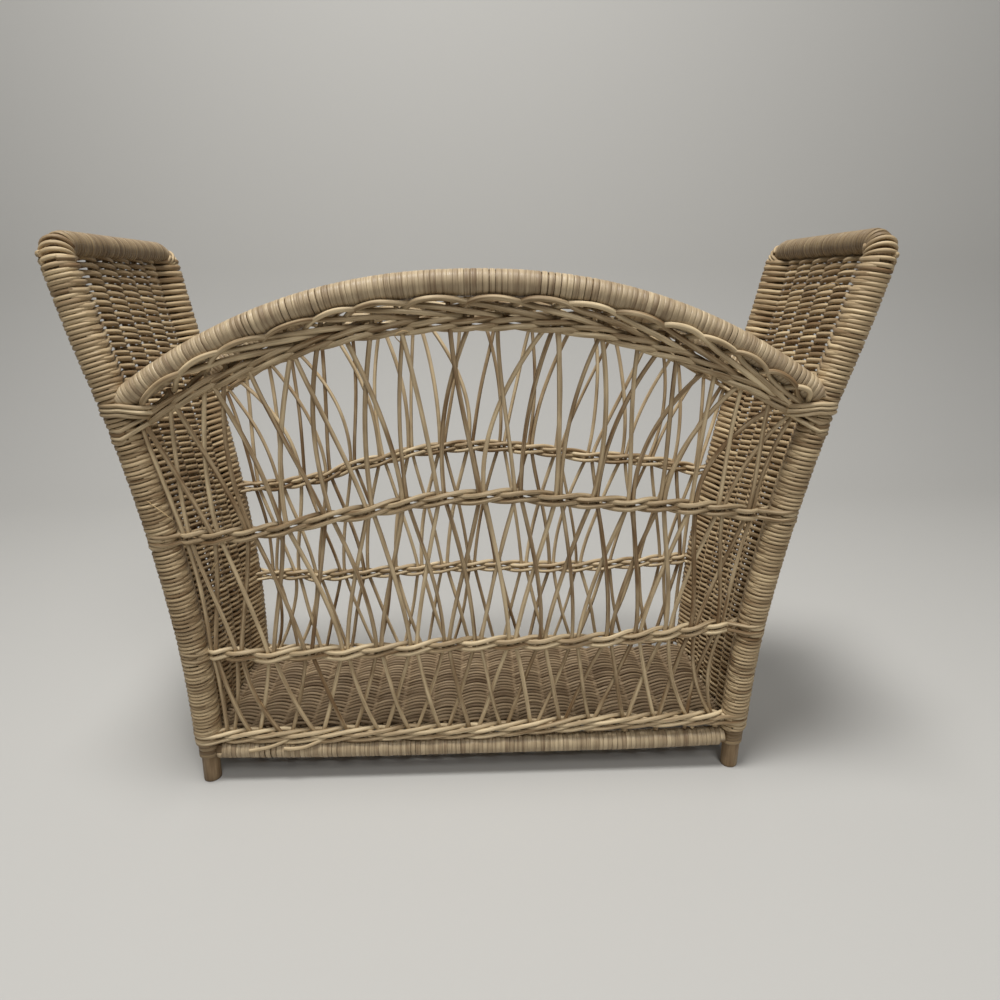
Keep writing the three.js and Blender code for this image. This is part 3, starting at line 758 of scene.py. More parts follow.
@dataclass
class Hoop:
    """A bent pole with its two ribbed posts and the cane over its top."""

    side: Side
    seed: int
    unevenness: float = 0.012
    rib_radius: float = 7.3
    rib_reed: float = 1.13
    rib_squash: float = 0.92
    rib_pitch: float = 2.5
    rib_start: float = 1.0
    rib_reach: float = 11.5
    rib_overlap: float = 3.0
    per_turn: int = 22
    pitch_spread: float = 0.05
    swell: float = 0.13
    reed_spread: float = 0.05
    tone_spread: float = 0.2
    dark_share: float = 0.05
    dark_drop: float = 0.5
    sunk_depth: float = 0.95
    sunk_slope: float = 1.2

    def line(self) -> Array:
        """The pole's middle line.

        Returns:
            Its points, from the front foot over the bar to the back foot.
        """
        front = np.arange(0, FORM.leg_top, 1.5)
        leg = np.stack([FORM.post_x(self.side.value, front), -FORM.half_depth(front), front], 1)
        turn = np.linspace(0, math.pi / 2, 15)
        height = FORM.leg_top + FORM.corner_radius * np.sin(turn)
        reach = float(FORM.half_depth(FORM.leg_top)) - FORM.corner_radius * (1 - np.cos(turn))
        corner = np.stack([FORM.post_x(self.side.value, height), -reach, height], 1)
        bar_y = np.linspace(-reach[-1], reach[-1], 70)[1:-1]
        bar = np.stack([np.full_like(bar_y, corner[-1, 0]), bar_y, np.full_like(bar_y, corner[-1, 2])], 1)
        mirror = np.array([1, -1, 1])
        return np.concatenate([leg, corner, bar, (corner * mirror)[::-1], (leg * mirror)[::-1]])

    def spine(self) -> Spine:
        """The middle line, ready for windings."""
        return Spine(self.line(), (-self.side.value, 0, 0))

    def pole(self) -> None:
        """Makes the bare pole, which shows at the feet."""
        rng = np.random.default_rng(self.seed)
        mesh = ReedMesh(f"{self.side.word}_hoop_pole")
        line = self.line()
        girth = 1 + self.unevenness * eased(rng.normal(size=len(line)), 6)
        mesh.strand(line, ALONG_X, round_section(FORM.pole_radius, 24), 0.4, girth)
        mesh.places[-1][:, 2] = np.maximum(mesh.places[-1][:, 2], 0)
        mesh.made(POLE, "rattan_pole", [f"{self.side.word}_end_hoop"])

    def ribs(self, end: End, sunk: Sequence[tuple[float, float]]) -> None:
        """The weft's turns round one post, as one long winding.

        Args:
            end: the face that the post is in.
            sunk: heights from and to which other strands lie over the turns.
        """
        rng = np.random.default_rng(self.seed * 7 + end.value)
        spine = self.spine()
        bottom = spine.run_at_height(FORM.weave_bottom + self.rib_start)
        top = spine.run_at_height(FORM.leg_top) + self.rib_reach
        turns = int((top - bottom) / self.rib_pitch)
        pitch = self.rib_pitch * (1 + self.pitch_spread * rng.normal(size=turns))
        run_at_turn = bottom + np.concatenate([[0.0], np.cumsum(pitch)]) * (top - bottom) / pitch.sum()
        knots = np.arange(turns + 1)
        swell = self.swell * rng.normal(size=len(knots))
        shade = 0.5 + self.tone_spread * rng.normal(size=len(knots))
        shade = np.clip(shade - self.dark_drop * (rng.random(len(knots)) < self.dark_share), 0, 1)
        turn = np.arange(turns * self.per_turn + 1) / self.per_turn
        run = np.interp(turn, knots, run_at_turn)
        height = np.interp(run, spine.run, spine.points[:, 2])
        covered = np.zeros_like(run)
        for low, high in sunk:
            edge = np.minimum(height - low, high - height)
            covered += np.clip(edge / self.sunk_slope + 0.5, 0, 1)
        radius = self.rib_radius + np.interp(turn, knots, swell) - self.sunk_depth * np.minimum(covered, 1)
        if end is End.BACK:
            run = spine.length - run
        path, ref = spine.wound(run, -end.value * 2 * math.pi * turn, radius)
        mesh = ReedMesh(f"{self.side.word}_{end.word}_post_ribs")
        mesh.strand(path, ref, round_section(self.rib_reed, 9, self.rib_squash),
                    shade[np.round(turn).astype(int)],
                    1 + self.reed_spread * np.interp(turn, knots, rng.normal(size=len(knots))))
        mesh.made(WEFT, "weft_reed")

    def top_cane(self) -> None:
        """Makes the flat cane over the top bar and both bends, which starts over the last ribs."""
        spine = self.spine()
        start = spine.run_at_height(FORM.leg_top) + self.rib_reach - self.rib_overlap
        mesh = ReedMesh(f"{self.side.word}_top_cane")
        TOP_CANE.wind(mesh, spine, start, spine.length - start, FORM.pole_radius, self.seed + 40)
        mesh.made(BAR_CANE, "flat_cane", [f"{self.side.word}_top_binding"])

    def build(self, sunk: dict[End, Sequence[tuple[float, float]]]) -> None:
        """Builds the pole, the ribs of both posts and the cane.

        Args:
            sunk: for each face, the heights from and to which its strands lie over the ribs.
        """
        self.pole()
        for end in End:
            self.ribs(end, sunk[end])
        self.top_cane()


# The long faces

# Where each stake of a face stands, in millimetres from the basket's middle: at the base wale, at
# each third of the way to the lower row and to the upper one, and so on to the top wale. Every
# pair has two lines, first its stake that sets out to the left.
STAKE_LINES = (
    (-170.1, -169.3, -169.3, -171.3, -170.7, -171.6, -174.8, -178.5, -182.9, -187.5),
    (-166.3, -161.5, -158.2, -155.6, -160, -166.2, -172, -173.2, -172.3, -170),
    (-154, -160.5, -165.1, -168.5, -165.2, -160.8, -157.7, -166.1, -175.6, -185.6),
    (-149.6, -143.9, -139.4, -135.6, -140.1, -146.7, -154.9, -156.6, -154.5, -149.5),
    (-134, -143.7, -149.9, -152.8, -148.1, -142.4, -137.8, -145.3, -156, -167.7),
    (-128.4, -121.9, -116.7, -112.2, -117.9, -125.5, -135, -141.5, -142.4, -138.3),
    (-111.7, -120.8, -127.6, -132.7, -127.8, -121.7, -117.3, -123.3, -132.8, -145.7),
    (-107.7, -101.1, -95.3, -88.8, -93.4, -102.8, -114.5, -114.8, -109.8, -100.9),
    (-90.3, -97.4, -103.2, -108.8, -102.9, -96.9, -91.5, -102, -114, -125.1),
    (-86.3, -79.1, -72.6, -67.4, -69.8, -77.1, -88.1, -92.1, -91.8, -86.2),
    (-70.1, -76.7, -82.1, -86, -81.8, -74.5, -66.6, -75.9, -87.9, -100.1),
    (-65.7, -58.5, -51.9, -45.6, -49.1, -55.5, -63.5, -64.8, -62.8, -57.5),
    (-49.7, -55.7, -60.4, -64.6, -59.6, -52, -45.4, -49.2, -58.3, -71.5),
    (-45.4, -37.2, -30.2, -24.4, -26.8, -33.8, -42.6, -44.8, -43.8, -39.9),
    (-29, -34, -38.3, -42.2, -37.5, -31.2, -24.2, -28.8, -34.4, -41.4),
    (-24.3, -17.5, -11, -4.6, -7.2, -12.6, -20.8, -21.1, -15.7, -4.3),
    (-9.1, -13.9, -18.2, -21.6, -15.5, -7.6, -0.3, -5.5, -11.3, -15),
    (-4, 3.5, 10.4, 17.2, 14.1, 8.8, 2.5, 4.1, 16, 37.3),
    (11.9, 6.6, 2.5, -1.2, 5.2, 12.8, 20.7, 16.8, 12.6, 10.6),
    (15.1, 22, 29.2, 36.8, 36.2, 31.1, 23.8, 25.7, 31.2, 41),
    (31.9, 28.6, 25.1, 20.6, 27.8, 36.5, 44.6, 45.5, 45, 43.6),
    (35, 43.5, 50.8, 57.2, 56.7, 53.1, 47.4, 49.1, 55.4, 66.9),
    (51.5, 47.5, 43.4, 39.6, 45.9, 55, 66, 70.9, 71.2, 67.1),
    (53.8, 61.7, 70.2, 79.4, 78.8, 74.9, 68.9, 73.1, 83.1, 99.8),
    (71.4, 67, 63.7, 60.6, 67.4, 77, 87.9, 87.4, 86.4, 87.6),
    (73.6, 82, 90.2, 97.8, 97.4, 94.1, 90.7, 93.4, 105.1, 128.1),
    (94.6, 89.8, 86, 82.2, 86.9, 95.9, 106.5, 108.3, 108.6, 109.3),
    (96.8, 102.2, 109, 116.9, 116.4, 112.8, 109.3, 113.9, 126.6, 147.4),
    (115.2, 109.5, 104.5, 100.6, 106.9, 115.9, 125.7, 127, 129, 131.7),
    (117.9, 122.3, 127.6, 133.4, 132.9, 130.1, 128.5, 132.3, 145.4, 170.3),
    (137.6, 127.5, 121.5, 119.7, 125.6, 134, 142.4, 143.4, 144.8, 148),
    (137.2, 139.1, 143.8, 150.8, 149.3, 146.4, 145.2, 151.8, 162.8, 178.7),
    (153.7, 142.6, 136.7, 136.2, 143.3, 151.9, 160.6, 162.4, 163.1, 164.5),
    (154.4, 149.1, 149, 153.6, 155, 158.1, 163.4, 166.3, 171.7, 180.1),
)
THIRDS = np.linalg.inv(np.vander(np.linspace(0, 1, 4), 4, increasing=True))


@dataclass
class Panel:
    """A long face: crossed stakes, four rows, a braided border and the arched rail over them.

    Along a face, `a` runs from left to right as seen from outside, so both faces are worked by
    the same hand. `d` is the depth outwards and `t` the height over a row's middle. The lower and
    upper rows have a height for each pair, and a drop is measured square to the arched rail.
    """

    end: End
    seed: int
    base_middle: float = 35.95
    top_drop: float = 21.25
    jitter: float = 0.55
    slip: float = 0.35
    stake: float = 1.33
    stake_swing: float = 1.4
    stake_slack: tuple[float, float] = (0.25, 0.8)
    stake_drift: float = 0.8
    least_crossing: float = 6.0
    stake_foot: float = 31.5
    stake_head_drop: float = 9.5
    stake_head_depth: float = 2.4
    strand: float = 1.45
    depth: float = 2.8
    slant: float = 1.25
    row_gap: float = 4.3
    top_strand: float = 1.48
    top_slant: float = 1.0
    top_gap: float = 3.9
    swell: float = 0.03
    post_strand: float = 1.25
    thin_from: float = 15.0
    thin_over: float = 6.0
    wrap_angles: tuple[float, float, float] = (58, 255, 300)
    wrap_radii: tuple[float, float, float] = (7.45, 7.45, 6.2)
    wrap_spread: float = 1.16
    wrap_rise: float = 1.25
    wrap_ramp: float = 40.0
    base_courses: tuple[tuple[float, float, float], ...] = ((2.0, 1.55, 1.4), (-2.3, 1.15, 1.35))
    base_depths: tuple[float, float, float] = (3.3, 3.5, -2.8)
    base_slip: float = 0.3
    base_end_room: float = 6.0
    base_end_reed: float = 1.3
    base_fan: float = 1.3
    base_clearance: float = 31.0
    base_ends: tuple[tuple[tuple[float, float, float], ...], ...] = (
        ((-118, -1, 1.0), (-124, 3.6, -1.5), (-133, 5.0, -5.4), (-143, 5.4, -8.3), (-149, 5.6, -9.2)),
        ((-96, 0.5, -1.0), (-104, 4.4, -3.2), (-112, 5.4, -6.3), (-121, 5.9, -7.4), (-126, 6.1, -6.9)))
    sag: float = 2.6
    rail_wobble: float = 0.25
    rail_margin: float = 6.5
    arch_margin: float = 2.5
    wale_places: tuple[float, ...] = (-189, -160, -129, -99, -49, 1, 57, 92, 117, 142, 167, 191)
    wale_drops: tuple[float, ...] = (14.6, 16.4, 18.8, 20.4, 21.2, 21.2, 20.2, 20.0, 18.9, 17.8, 16.5, 15.0)
    base_places: tuple[float, ...] = (-168, -120, -57, 0, 42, 66, 105, 160)
    base_heights: tuple[float, ...] = (34.4, 32.8, 33.0, 33.0, 35.0, 36.7, 37.6, 39.3)
    lower_heights: tuple[float, ...] = (96.5, 95.9, 93.9, 95.1, 95.1, 96.5, 97.4, 99.4, 99.5, 100.4, 100.2,
                                        99.8, 100.4, 102.4, 104.6, 106.7, 108.7)
    upper_heights: tuple[float, ...] = (176.1, 176.1, 178.6, 181.3, 187.9, 191.0, 195.6, 197.8, 198.7,
                                        199.3, 197.5, 195.3, 193.1, 192.5, 191.3, 188.8, 185.7)
    back_lower_rise: tuple[float, float, float] = (0.0, 6.0, 5.0)
    back_upper_rise: tuple[float, float, float] = (-4.6, 4.0, -3.4)
    rod: float = 1.48
    rod_starts: tuple[float, ...] = (-191.8, -170.9, -151.8, -120.9, -96.4, -74.1, -42.7, -10.9, 17.7, 40.5,
                                     68.6, 95.0, 114.5, 135.9, 157.7, 174.1)
    rod_lengths: tuple[float, ...] = (1.0,) * 12 + (0.9, 0.78, 0.66, 0.5)
    rod_jitter: float = 1.4
    rod_jolt: tuple[float, float] = (0.22, 0.15)
    rod_clearance: float = 8.5
    rod_end_room: float = 11.0
    rod_end_drop: float = 5.0
    rod_end_share: float = 0.4
    rod_end_depth: float = 3.0
    rod_limits: tuple[float, float] = (9.0, 7.0)
    rod_profile: tuple[tuple[float, float, float], ...] = (
        (-34, 17.5, -1.0), (-24, 15.2, -3.8), (-12, 12.6, -4.6), (-4, 11.6, -3.8), (0, 12.0, -0.6),
        (4, 9.8, 3.2), (10, 7.7, 5.4), (20, 6.6, 6.2), (30, 7.6, 5.4), (38, 9.7, 3.5), (50, 11.6, 3.3),
        (65, 13.9, 3.0), (76, 15.6, 1.6), (88, 17.0, -1.4))
    curl_middle: float = 17.0
    curl_half: float = 34.0
    narrow_from: float = 125.0
    narrow_over: float = 60.0
    narrowing: float = 0.17
    curl_places: tuple[float, ...] = (-192, -168, -148, -120, -60, -11, 18, 69, 115, 150, 175)
    curl_rises: tuple[float, ...] = (-2.4, -2.7, -1.3, 0, 0.2, 0.9, 0, -1.4, -2.6, -3.6, -4.6)
    lash_reed: float = 1.2
    lash_step: float = 2.6
    lash_slope: float = -0.12
    lash_heights: tuple[float, float] = (254.0, 251.0)
    lash_turn: tuple[tuple[float, float, float], ...] = (
        (215, 7.0, 0), (185, 7.6, 0), (150, 7.7, 0), (115, 7.8, 0), (80, 8.1, 0), (62, 8.8, 0.3))
    lash_reaches: tuple[float, ...] = (12.0, 15.0, 14.0)
    lash_half: float = 5.0
    row_halves: tuple[float, ...] = (5.0, 5.1, 5.1, 4.5)
    rng: np.random.Generator = field(init=False)
    slips: dict[Row, Array] = field(init=False)
    pairs: dict[Row, Array] = field(init=False)
    heights: dict[Row, Array] = field(init=False)

    def __post_init__(self) -> None:
        """Finds this face's pairs and draws their small differences."""
        self.rng = np.random.default_rng(self.seed)
        count = FORM.pair_count
        jitters = {row: self.jitter * self.rng.normal(size=count) for row in Row}
        self.slips = {row: self.slip * self.rng.normal(size=count) for row in Row}
        left, right = np.array(STAKE_LINES)[0::2], np.array(STAKE_LINES)[1::2]
        self.pairs = {
            Row.BASE: (left[:, 0] + right[:, 0]) / 2,
            Row.LOWER: (np.append(left[0, 3], right[:-1, 3]) + np.append(left[1:, 3], right[-1, 3])) / 2,
            Row.UPPER: (left[:, 6] + right[:, 6]) / 2}
        for row in self.pairs:
            self.pairs[row] = self.pairs[row] - float(FORM.lean(self.middle(row)))
        half = float(FORM.half_width(self.middle(Row.TOP))) - FORM.edge_inset
        self.pairs[Row.TOP] = half * np.linspace(-1, 1, count) + jitters[Row.TOP]
        self.heights = {Row.BASE: np.interp(self.pairs[Row.BASE], self.base_places, self.base_heights),
                        Row.LOWER: np.array(self.lower_heights), Row.UPPER: np.array(self.upper_heights)}
        if self.end is End.BACK:
            rises = {Row.BASE: (0, 0, 0), Row.LOWER: self.back_lower_rise, Row.UPPER: self.back_upper_rise}
            for row, rise in rises.items():
                change = np.interp(np.linspace(-1, 1, count), (-1, 0, 1), rise)
                self.heights[row] = self.heights[row][::-1] + change

    @property
    def way(self) -> float:
        """X per unit of a."""
        return 1.0 if self.end is End.FRONT else -1.0

    def middle(self, row: Row) -> float:
        """The height that a row is named by."""
        top = FORM.arch_end_height - self.top_drop
        return self.base_middle + (top - self.base_middle) * row.value

    def row_height(self, row: Row, x: Array) -> Array:
        """Height of a row's middle line.

        Args:
            row: the row.
            x: places along the face.

        Returns:
            The height at each place.
        """
        if row is not Row.TOP:
            along = self.way * (x - float(FORM.lean(self.middle(row))))
            return np.interp(along, self.pairs[row], self.heights[row])
        along = self.way * (x - float(FORM.lean(FORM.arch_end_height)))
        return FORM.arch_height(x, np.interp(along, self.wale_places, self.wale_drops))

    def post_reach(self, row: Row, edge: int) -> float:
        """How far a post stands from the face's middle at a row.

        Args:
            row: the row.
            edge: -1 for the left post, 1 for the right one.

        Returns:
            The distance along the face.
        """
        lean = float(FORM.lean(self.middle(row)))
        reach = float(FORM.half_width(self.middle(row)))
        for _ in range(3):
            height = self.row_height(row, lean + self.way * edge * reach)
            reach = abs(float(FORM.post_x(self.way * edge, height)) - lean)
        return reach

    def rail_sag(self, x: Array) -> Array:
        """How far the rail at the foot hangs below its ends at x."""
        height = FORM.rail_height
        share = (np.asarray(x, float) - float(FORM.lean(height))) / float(FORM.half_width(height))
        return self.sag * (1 - np.clip(np.abs(share), 0, 1) ** 4)

    def place(self, a: Array, d: Array, z: Array, lean_at: float) -> Array:
        """Points of the face in the basket's frame.

        Args:
            a: place along the face.
            d: depth outwards.
            z: height.
            lean_at: the height whose lean holds for all of them.

        Returns:
            The points.
        """
        return np.stack([self.x_of(a, lean_at), self.end.value * (FORM.half_depth(z) + d), z], 1)

    def x_of(self, a: Array, height: float) -> Array:
        """X of a place along the face."""
        return float(FORM.lean(height)) + self.way * np.asarray(a, float)

    def wrap(self, edge: int, over: float, lift: float, half: float) -> Array:
        """The turn of a strand round a post.

        Args:
            edge: -1 for the left post, 1 for the right one.
            over: 1 if it comes to the post's outer face, -1 for the inner one.
            lift: its height over the row's middle.
            half: the post's distance from the face's middle.

        Returns:
            Rows of a, d and t, from the face outwards.
        """
        start, _, stop = self.wrap_angles
        angle = np.arange(start, stop, 9)
        turn = np.radians(angle)
        radius = np.interp(angle, self.wrap_angles, self.wrap_radii)
        t = self.wrap_spread * lift + over * self.wrap_rise * np.clip((angle - start) / self.wrap_ramp, 0, 1)
        return np.stack([edge * (half - radius * np.cos(turn)), over * radius * np.sin(turn), t], 1)

    def pairing(self, mesh: ReedMesh, row: Row, lift: float, phase: int, slant: float,
                strand: float) -> None:
        """One strand of a pairing row, round both posts.

        Args:
            mesh: the row's mesh.
            row: the row.
            lift: how far over the row's middle it runs.
            phase: 0 or 1, for which pairs it passes outside.
            slant: how far it rises over a pair.
            strand: its radius.
        """
        count, middle = FORM.pair_count, self.middle(row)
        index = np.arange(0, count - 1, 0.06)
        turn = math.pi * (index + 0.5 + phase)
        t = lift - slant * np.cos(turn) + np.interp(index, np.arange(count), self.slips[row])
        a = np.interp(index, np.arange(count), self.pairs[row])
        reaches = {edge: self.post_reach(row, edge) for edge in (-1, 1)}
        wraps = {}
        for edge, pair in ((-1, 0), (1, count - 1)):
            over = -np.sign(math.sin(math.pi * (pair + 0.5 + phase)))
            wraps[edge] = self.wrap(edge, over, lift, reaches[edge])
        line = [wraps[-1][::-1], np.stack([a, self.depth * np.sin(turn), t], 1), wraps[1]]
        a, d, t = eased(respaced(np.concatenate(line), 1.1), 5).T
        posts = sorted(self.x_of(np.array([-reaches[-1], reaches[1]]), middle))
        z = self.row_height(row, np.clip(self.x_of(a, middle), *posts)) + t
        outside = np.maximum(-a - reaches[-1], a - reaches[1])
        near = np.clip((outside + self.thin_from) / self.thin_over, 0, 1)
        mesh.reed(self.place(a, d, z, middle), UP, strand, self.rng, self.swell,
                  more=(self.post_strand / strand - 1) * near)

    def paired_row(self, row: Row) -> None:
        """A row of two pairings, one on the other.

        Args:
            row: the lower, upper or top one.
        """
        name, gap, slant, strand = f"{row.word}_twining", self.row_gap, self.slant, self.strand
        if row is Row.TOP:
            name, gap, slant, strand = "top_wale", self.top_gap, self.top_slant, self.top_strand
        mesh = ReedMesh(f"{self.end.word}_{name}_strands")
        for lift in (-gap / 2, gap / 2):
            for phase in (0, 1):
                self.pairing(mesh, row, lift, phase, slant, strand)
        mesh.made(ROW, "weft_reed", [f"{self.end.word}_{name}"])

    def waled(self, mesh: ReedMesh, course: tuple[float, float, float], phase: int) -> None:
        """One strand of the wale at the foot, outside two pairs and inside the third.

        Args:
            mesh: the wale's mesh.
            course: its lift over the row's middle, its rise over a pair and its radius.
            phase: 0, 1 or 2, for which pairs it passes inside.
        """
        lift, reach, strand = course
        middle = self.middle(Row.BASE)
        half = float(FORM.half_width(middle))
        rises = (-reach, reach, 0.1)
        last = half - self.base_end_room
        knots = []
        for index, a in enumerate((-last, *self.pairs[Row.BASE], last), phase - 1):
            rise = rises[index % 3] + lift + self.base_slip * self.rng.normal()
            knots.append((float(a), self.base_depths[index % 3], rise))
        turns = {}
        for edge, (_, depth, _) in ((-1, knots[0]), (1, knots[-1])):
            over = 1.0 if depth > 0 else -1.0
            turns[edge] = self.wrap(edge, over, lift + (phase - 1) * self.base_fan, half)[2:]
        line = np.concatenate([turns[-1][::-1], threaded(knots, 12)[6:-6], turns[1]])
        a, d, t = eased(respaced(line, 1.2), 6).T
        x = self.x_of(a, middle)
        path = self.place(a, d, self.row_height(Row.BASE, x) + t, middle)
        path[:, 2] = np.maximum(path[:, 2], self.base_clearance - self.rail_sag(x))
        mesh.reed(path, UP, strand, self.rng, self.swell)

    def base_wale(self) -> None:
        """Builds two courses of three strands and, in front, the cut ends of two of them."""
        mesh = ReedMesh(f"{self.end.word}_base_wale_strands")
        for course in self.base_courses:
            for phase in range(3):
                self.waled(mesh, course, phase)
        for knots in self.base_ends if self.end is End.FRONT else ():
            a, d, t = threaded(knots, 8).T
            middle = self.middle(Row.BASE)
            z = self.row_height(Row.BASE, self.x_of(a, middle)) + t
            mesh.strand(self.place(a, d, z, middle), UP, round_section(self.base_end_reed, 9), 0.8, None, 50)
        mesh.made(ROW, "weft_reed", [f"{self.end.word}_base_wale"])

    def stakes(self) -> None:
        """Builds the crossed stakes, from the floor to behind the border."""
        mesh = ReedMesh(f"{self.end.word}_lattice_stakes")
        for index, marks in enumerate(STAKE_LINES):
            self.stake_line(mesh, np.array(marks), -1 if index % 2 == 0 else 1)
        mesh.made(STAKE, "stake_reed", [f"{self.end.word}_lattice"])

    def stake_line(self, mesh: ReedMesh, marks: Array, hand: int) -> None:
        """One stake through its places in the four rows.

        Args:
            mesh: the lattice's mesh.
            marks: where it stands, from the base wale to the top one.
            hand: -1 for the stake that sets out to the left.
        """
        rng = self.rng
        slack = self.stake_slack[0 if self.end is End.FRONT else 1]
        heights = []
        for row, mark in zip(Row, marks[::3]):
            lean = float(FORM.lean(FORM.arch_end_height if row is Row.TOP else self.middle(row)))
            heights.append(float(self.row_height(row, lean + self.way * (mark - lean))))
        t = np.linspace(0, 1, 26)
        arc = np.sin(math.pi * t)
        rows = []
        for gap, (low, high) in enumerate(zip(heights, heights[1:])):
            x = np.vander(t, 4, increasing=True) @ THIRDS @ marks[3 * gap:3 * gap + 4]
            x = x + slack * rng.normal() * arc ** 2
            z = low + (high - low) * t
            swing = arc ** 0.9
            if gap == 2:
                # The last swing stays wide up to the wale and then slips in behind it.
                swing = np.interp(t, (0.5, 0.84, 1.0), (1.0, 1.0, 0.1)) * np.where(t < 0.5, swing, 1.0)
            out = self.stake_swing if (hand < 0) == (gap % 2 == 0) else -self.stake_swing
            if abs(x[-1] - x[0]) < self.least_crossing:
                out = 0.0
            depth = out * swing + 0.25 * rng.normal() * arc
            if gap == 0:
                foot = self.stake_foot - float(self.rail_sag(x[0]))
                rows.append([(x[0] - (x[3] - x[0]) / (z[3] - z[0]) * (z[0] - foot), 0.0, foot)])
            rows.append(np.stack([x, depth, z], 1)[:-1])
        drift = self.stake_drift * (x[-1] - x[-5]) / (z[-1] - z[-5])
        rise = float(FORM.arch_height(x[-1], self.stake_head_drop)) - z[-1]
        for share in (0.0, 0.35, 0.7, 1.0):
            back = depth[-1] * (1 - share) - self.stake_head_depth * share ** 0.5
            rows.append([(x[-1] + drift * rise * share, back, z[-1] + rise * share)])
        x, d, z = eased(respaced(np.concatenate(rows), 2.2), 3).T
        lean = FORM.lean(z)
        path = np.stack([lean + self.way * (x - lean), self.end.value * (FORM.half_depth(z) + d), z], 1)
        grown = 1 + 0.05 * rng.normal() + 0.025 * eased(rng.normal(size=len(path)), 10)
        mesh.strand(path, ALONG_Y, round_section(self.stake, 9), rng.random(), grown,
                    rng.random() * START_SPREAD)

    def border(self) -> None:
        """Builds the rods that come up from behind, curl over the rail's foot and run to the right."""
        mesh = ReedMesh(f"{self.end.word}_border_rods")
        lean = float(FORM.lean(FORM.arch_end_height))
        for start, length in zip(self.rod_starts, self.rod_lengths):
            knots = self.rod_knots(start, length)
            kept = [knots[0]]
            for knot in knots[1:]:
                if math.dist(knot, kept[-1]) > 1.5:
                    kept.append(knot)
            a, drop, out = threaded(kept, 9).T
            x = lean + self.way * a
            slope = FORM.arch_slope(x)
            size = np.hypot(1, slope)
            z = FORM.arch_height(x) - drop / size
            path = np.stack([x + drop * slope / size, self.end.value * (FORM.half_depth(z) + out), z], 1)
            mesh.reed(eased(respaced(path, 1.2), 4), ALONG_Y, self.rod, self.rng, self.swell,
                      whole=0.06, sides=10)
        mesh.made(ROW, "weft_reed", [f"{self.end.word}_border_braid"])

    def rod_knots(self, start: float, length: float) -> list[tuple[float, float, float]]:
        """The places that one rod of the border passes.

        Args:
            start: X at which it comes up in front of the wale.
            length: its length as a share of a whole one.

        Returns:
            Place along the face, drop under the rail and depth outwards at each.
        """
        lean = float(FORM.lean(FORM.arch_end_height))
        half = float(FORM.half_width(FORM.arch_end_height))
        first = start - lean + (self.rod_jitter * self.rng.normal() if self.end is End.BACK else 0.0)
        raised = float(np.interp(start, self.curl_places, self.curl_rises))
        knots = []
        for along, drop, out in self.rod_profile:
            jolt = self.rng.normal(size=2) * self.rod_jolt
            a = first + along * length
            curl = np.clip(1 - abs(along - self.curl_middle) / self.curl_half, 0, 1) ** 0.5
            tight = 1 - self.narrowing * np.clip((abs(a) - self.narrow_from) / self.narrow_over, 0, 1)
            drop = (drop + raised * curl) * (tight if along > 40 else 1.0)
            if 2 < along < 34:
                # Over the curl the rod stays clear of the rail's winding.
                out = max(out, math.sqrt(max(self.rod_clearance ** 2 - drop ** 2, 0)))
            if abs(a) > half - self.rod_end_room:
                drop, out = self.rod_end_drop + self.rod_end_share * drop, min(out, self.rod_end_depth)
            a = float(np.clip(a, self.rod_limits[0] - half, half - self.rod_limits[1]))
            knots.append((a, drop + jolt[0], out + jolt[1]))
        return knots

    def arch(self) -> None:
        """Builds the arched rail and the flat cane wound over it."""
        half = float(FORM.half_width(FORM.arch_end_height))
        x = float(FORM.lean(FORM.arch_end_height)) + half * np.linspace(-1, 1, 260)
        z = FORM.arch_height(x)
        line = np.stack([x, self.end.value * FORM.half_depth(z), z], 1)
        wound_rail(f"{self.end.word}_arch", line, 4, (0, self.end.value, 0), FORM.pole_radius, ARCH_CANE,
                   self.arch_margin, self.seed + 70)

    def base_rail(self) -> None:
        """Builds the rail at the foot, which hangs a little, and its winding."""
        rng = np.random.default_rng(self.seed + 5)
        height = FORM.rail_height
        x = np.linspace(FORM.post_x(-1, height), FORM.post_x(1, height), 120)
        z = height - self.rail_sag(x) + self.rail_wobble * eased(rng.normal(size=120), 25)
        line = np.stack([x, np.full_like(x, self.end.value * float(FORM.half_depth(height))), z], 1)
        wound_rail(f"{self.end.word}_base", line, 2, (0, self.end.value, 0), FORM.rail_radius, RAIL_CANE,
                   self.rail_margin, self.seed + 90)

    def lashing(self, side: Side) -> None:
        """Builds the turns of reed that tie one end of the arched rail to its post.

        Args:
            side: the end.
        """
        mesh = ReedMesh(f"{self.end.word}_{side.word}_lashing_reed")
        edge = side.value * self.way
        middle = self.lash_heights[0 if edge < 0 else 1]
        half = float(FORM.half_width(middle))
        for turn, reach in enumerate(self.lash_reaches):
            height = middle + self.lash_step * (turn - (len(self.lash_reaches) - 1) / 2)
            knots = []
            for angle, radius, rise in self.lash_turn:
                away = radius * math.cos(math.radians(angle))
                knots.append((edge * (half - away), radius * math.sin(math.radians(angle)), height + rise))
            for further, out, run in ((0, 6.2, -4), (5, 3.0, 0), (8, -1.0, 2)):
                fall = self.lash_slope * (reach + run)
                knots.append((edge * (half - reach - further), out, height + fall))
            path = self.place(*threaded(knots, 8).T, middle)
            mesh.reed(eased(respaced(path, 1.1), 2), UP, self.lash_reed, self.rng)
        mesh.made(ROW, "weft_reed", [f"{self.end.word}_{side.word}_lashing"])

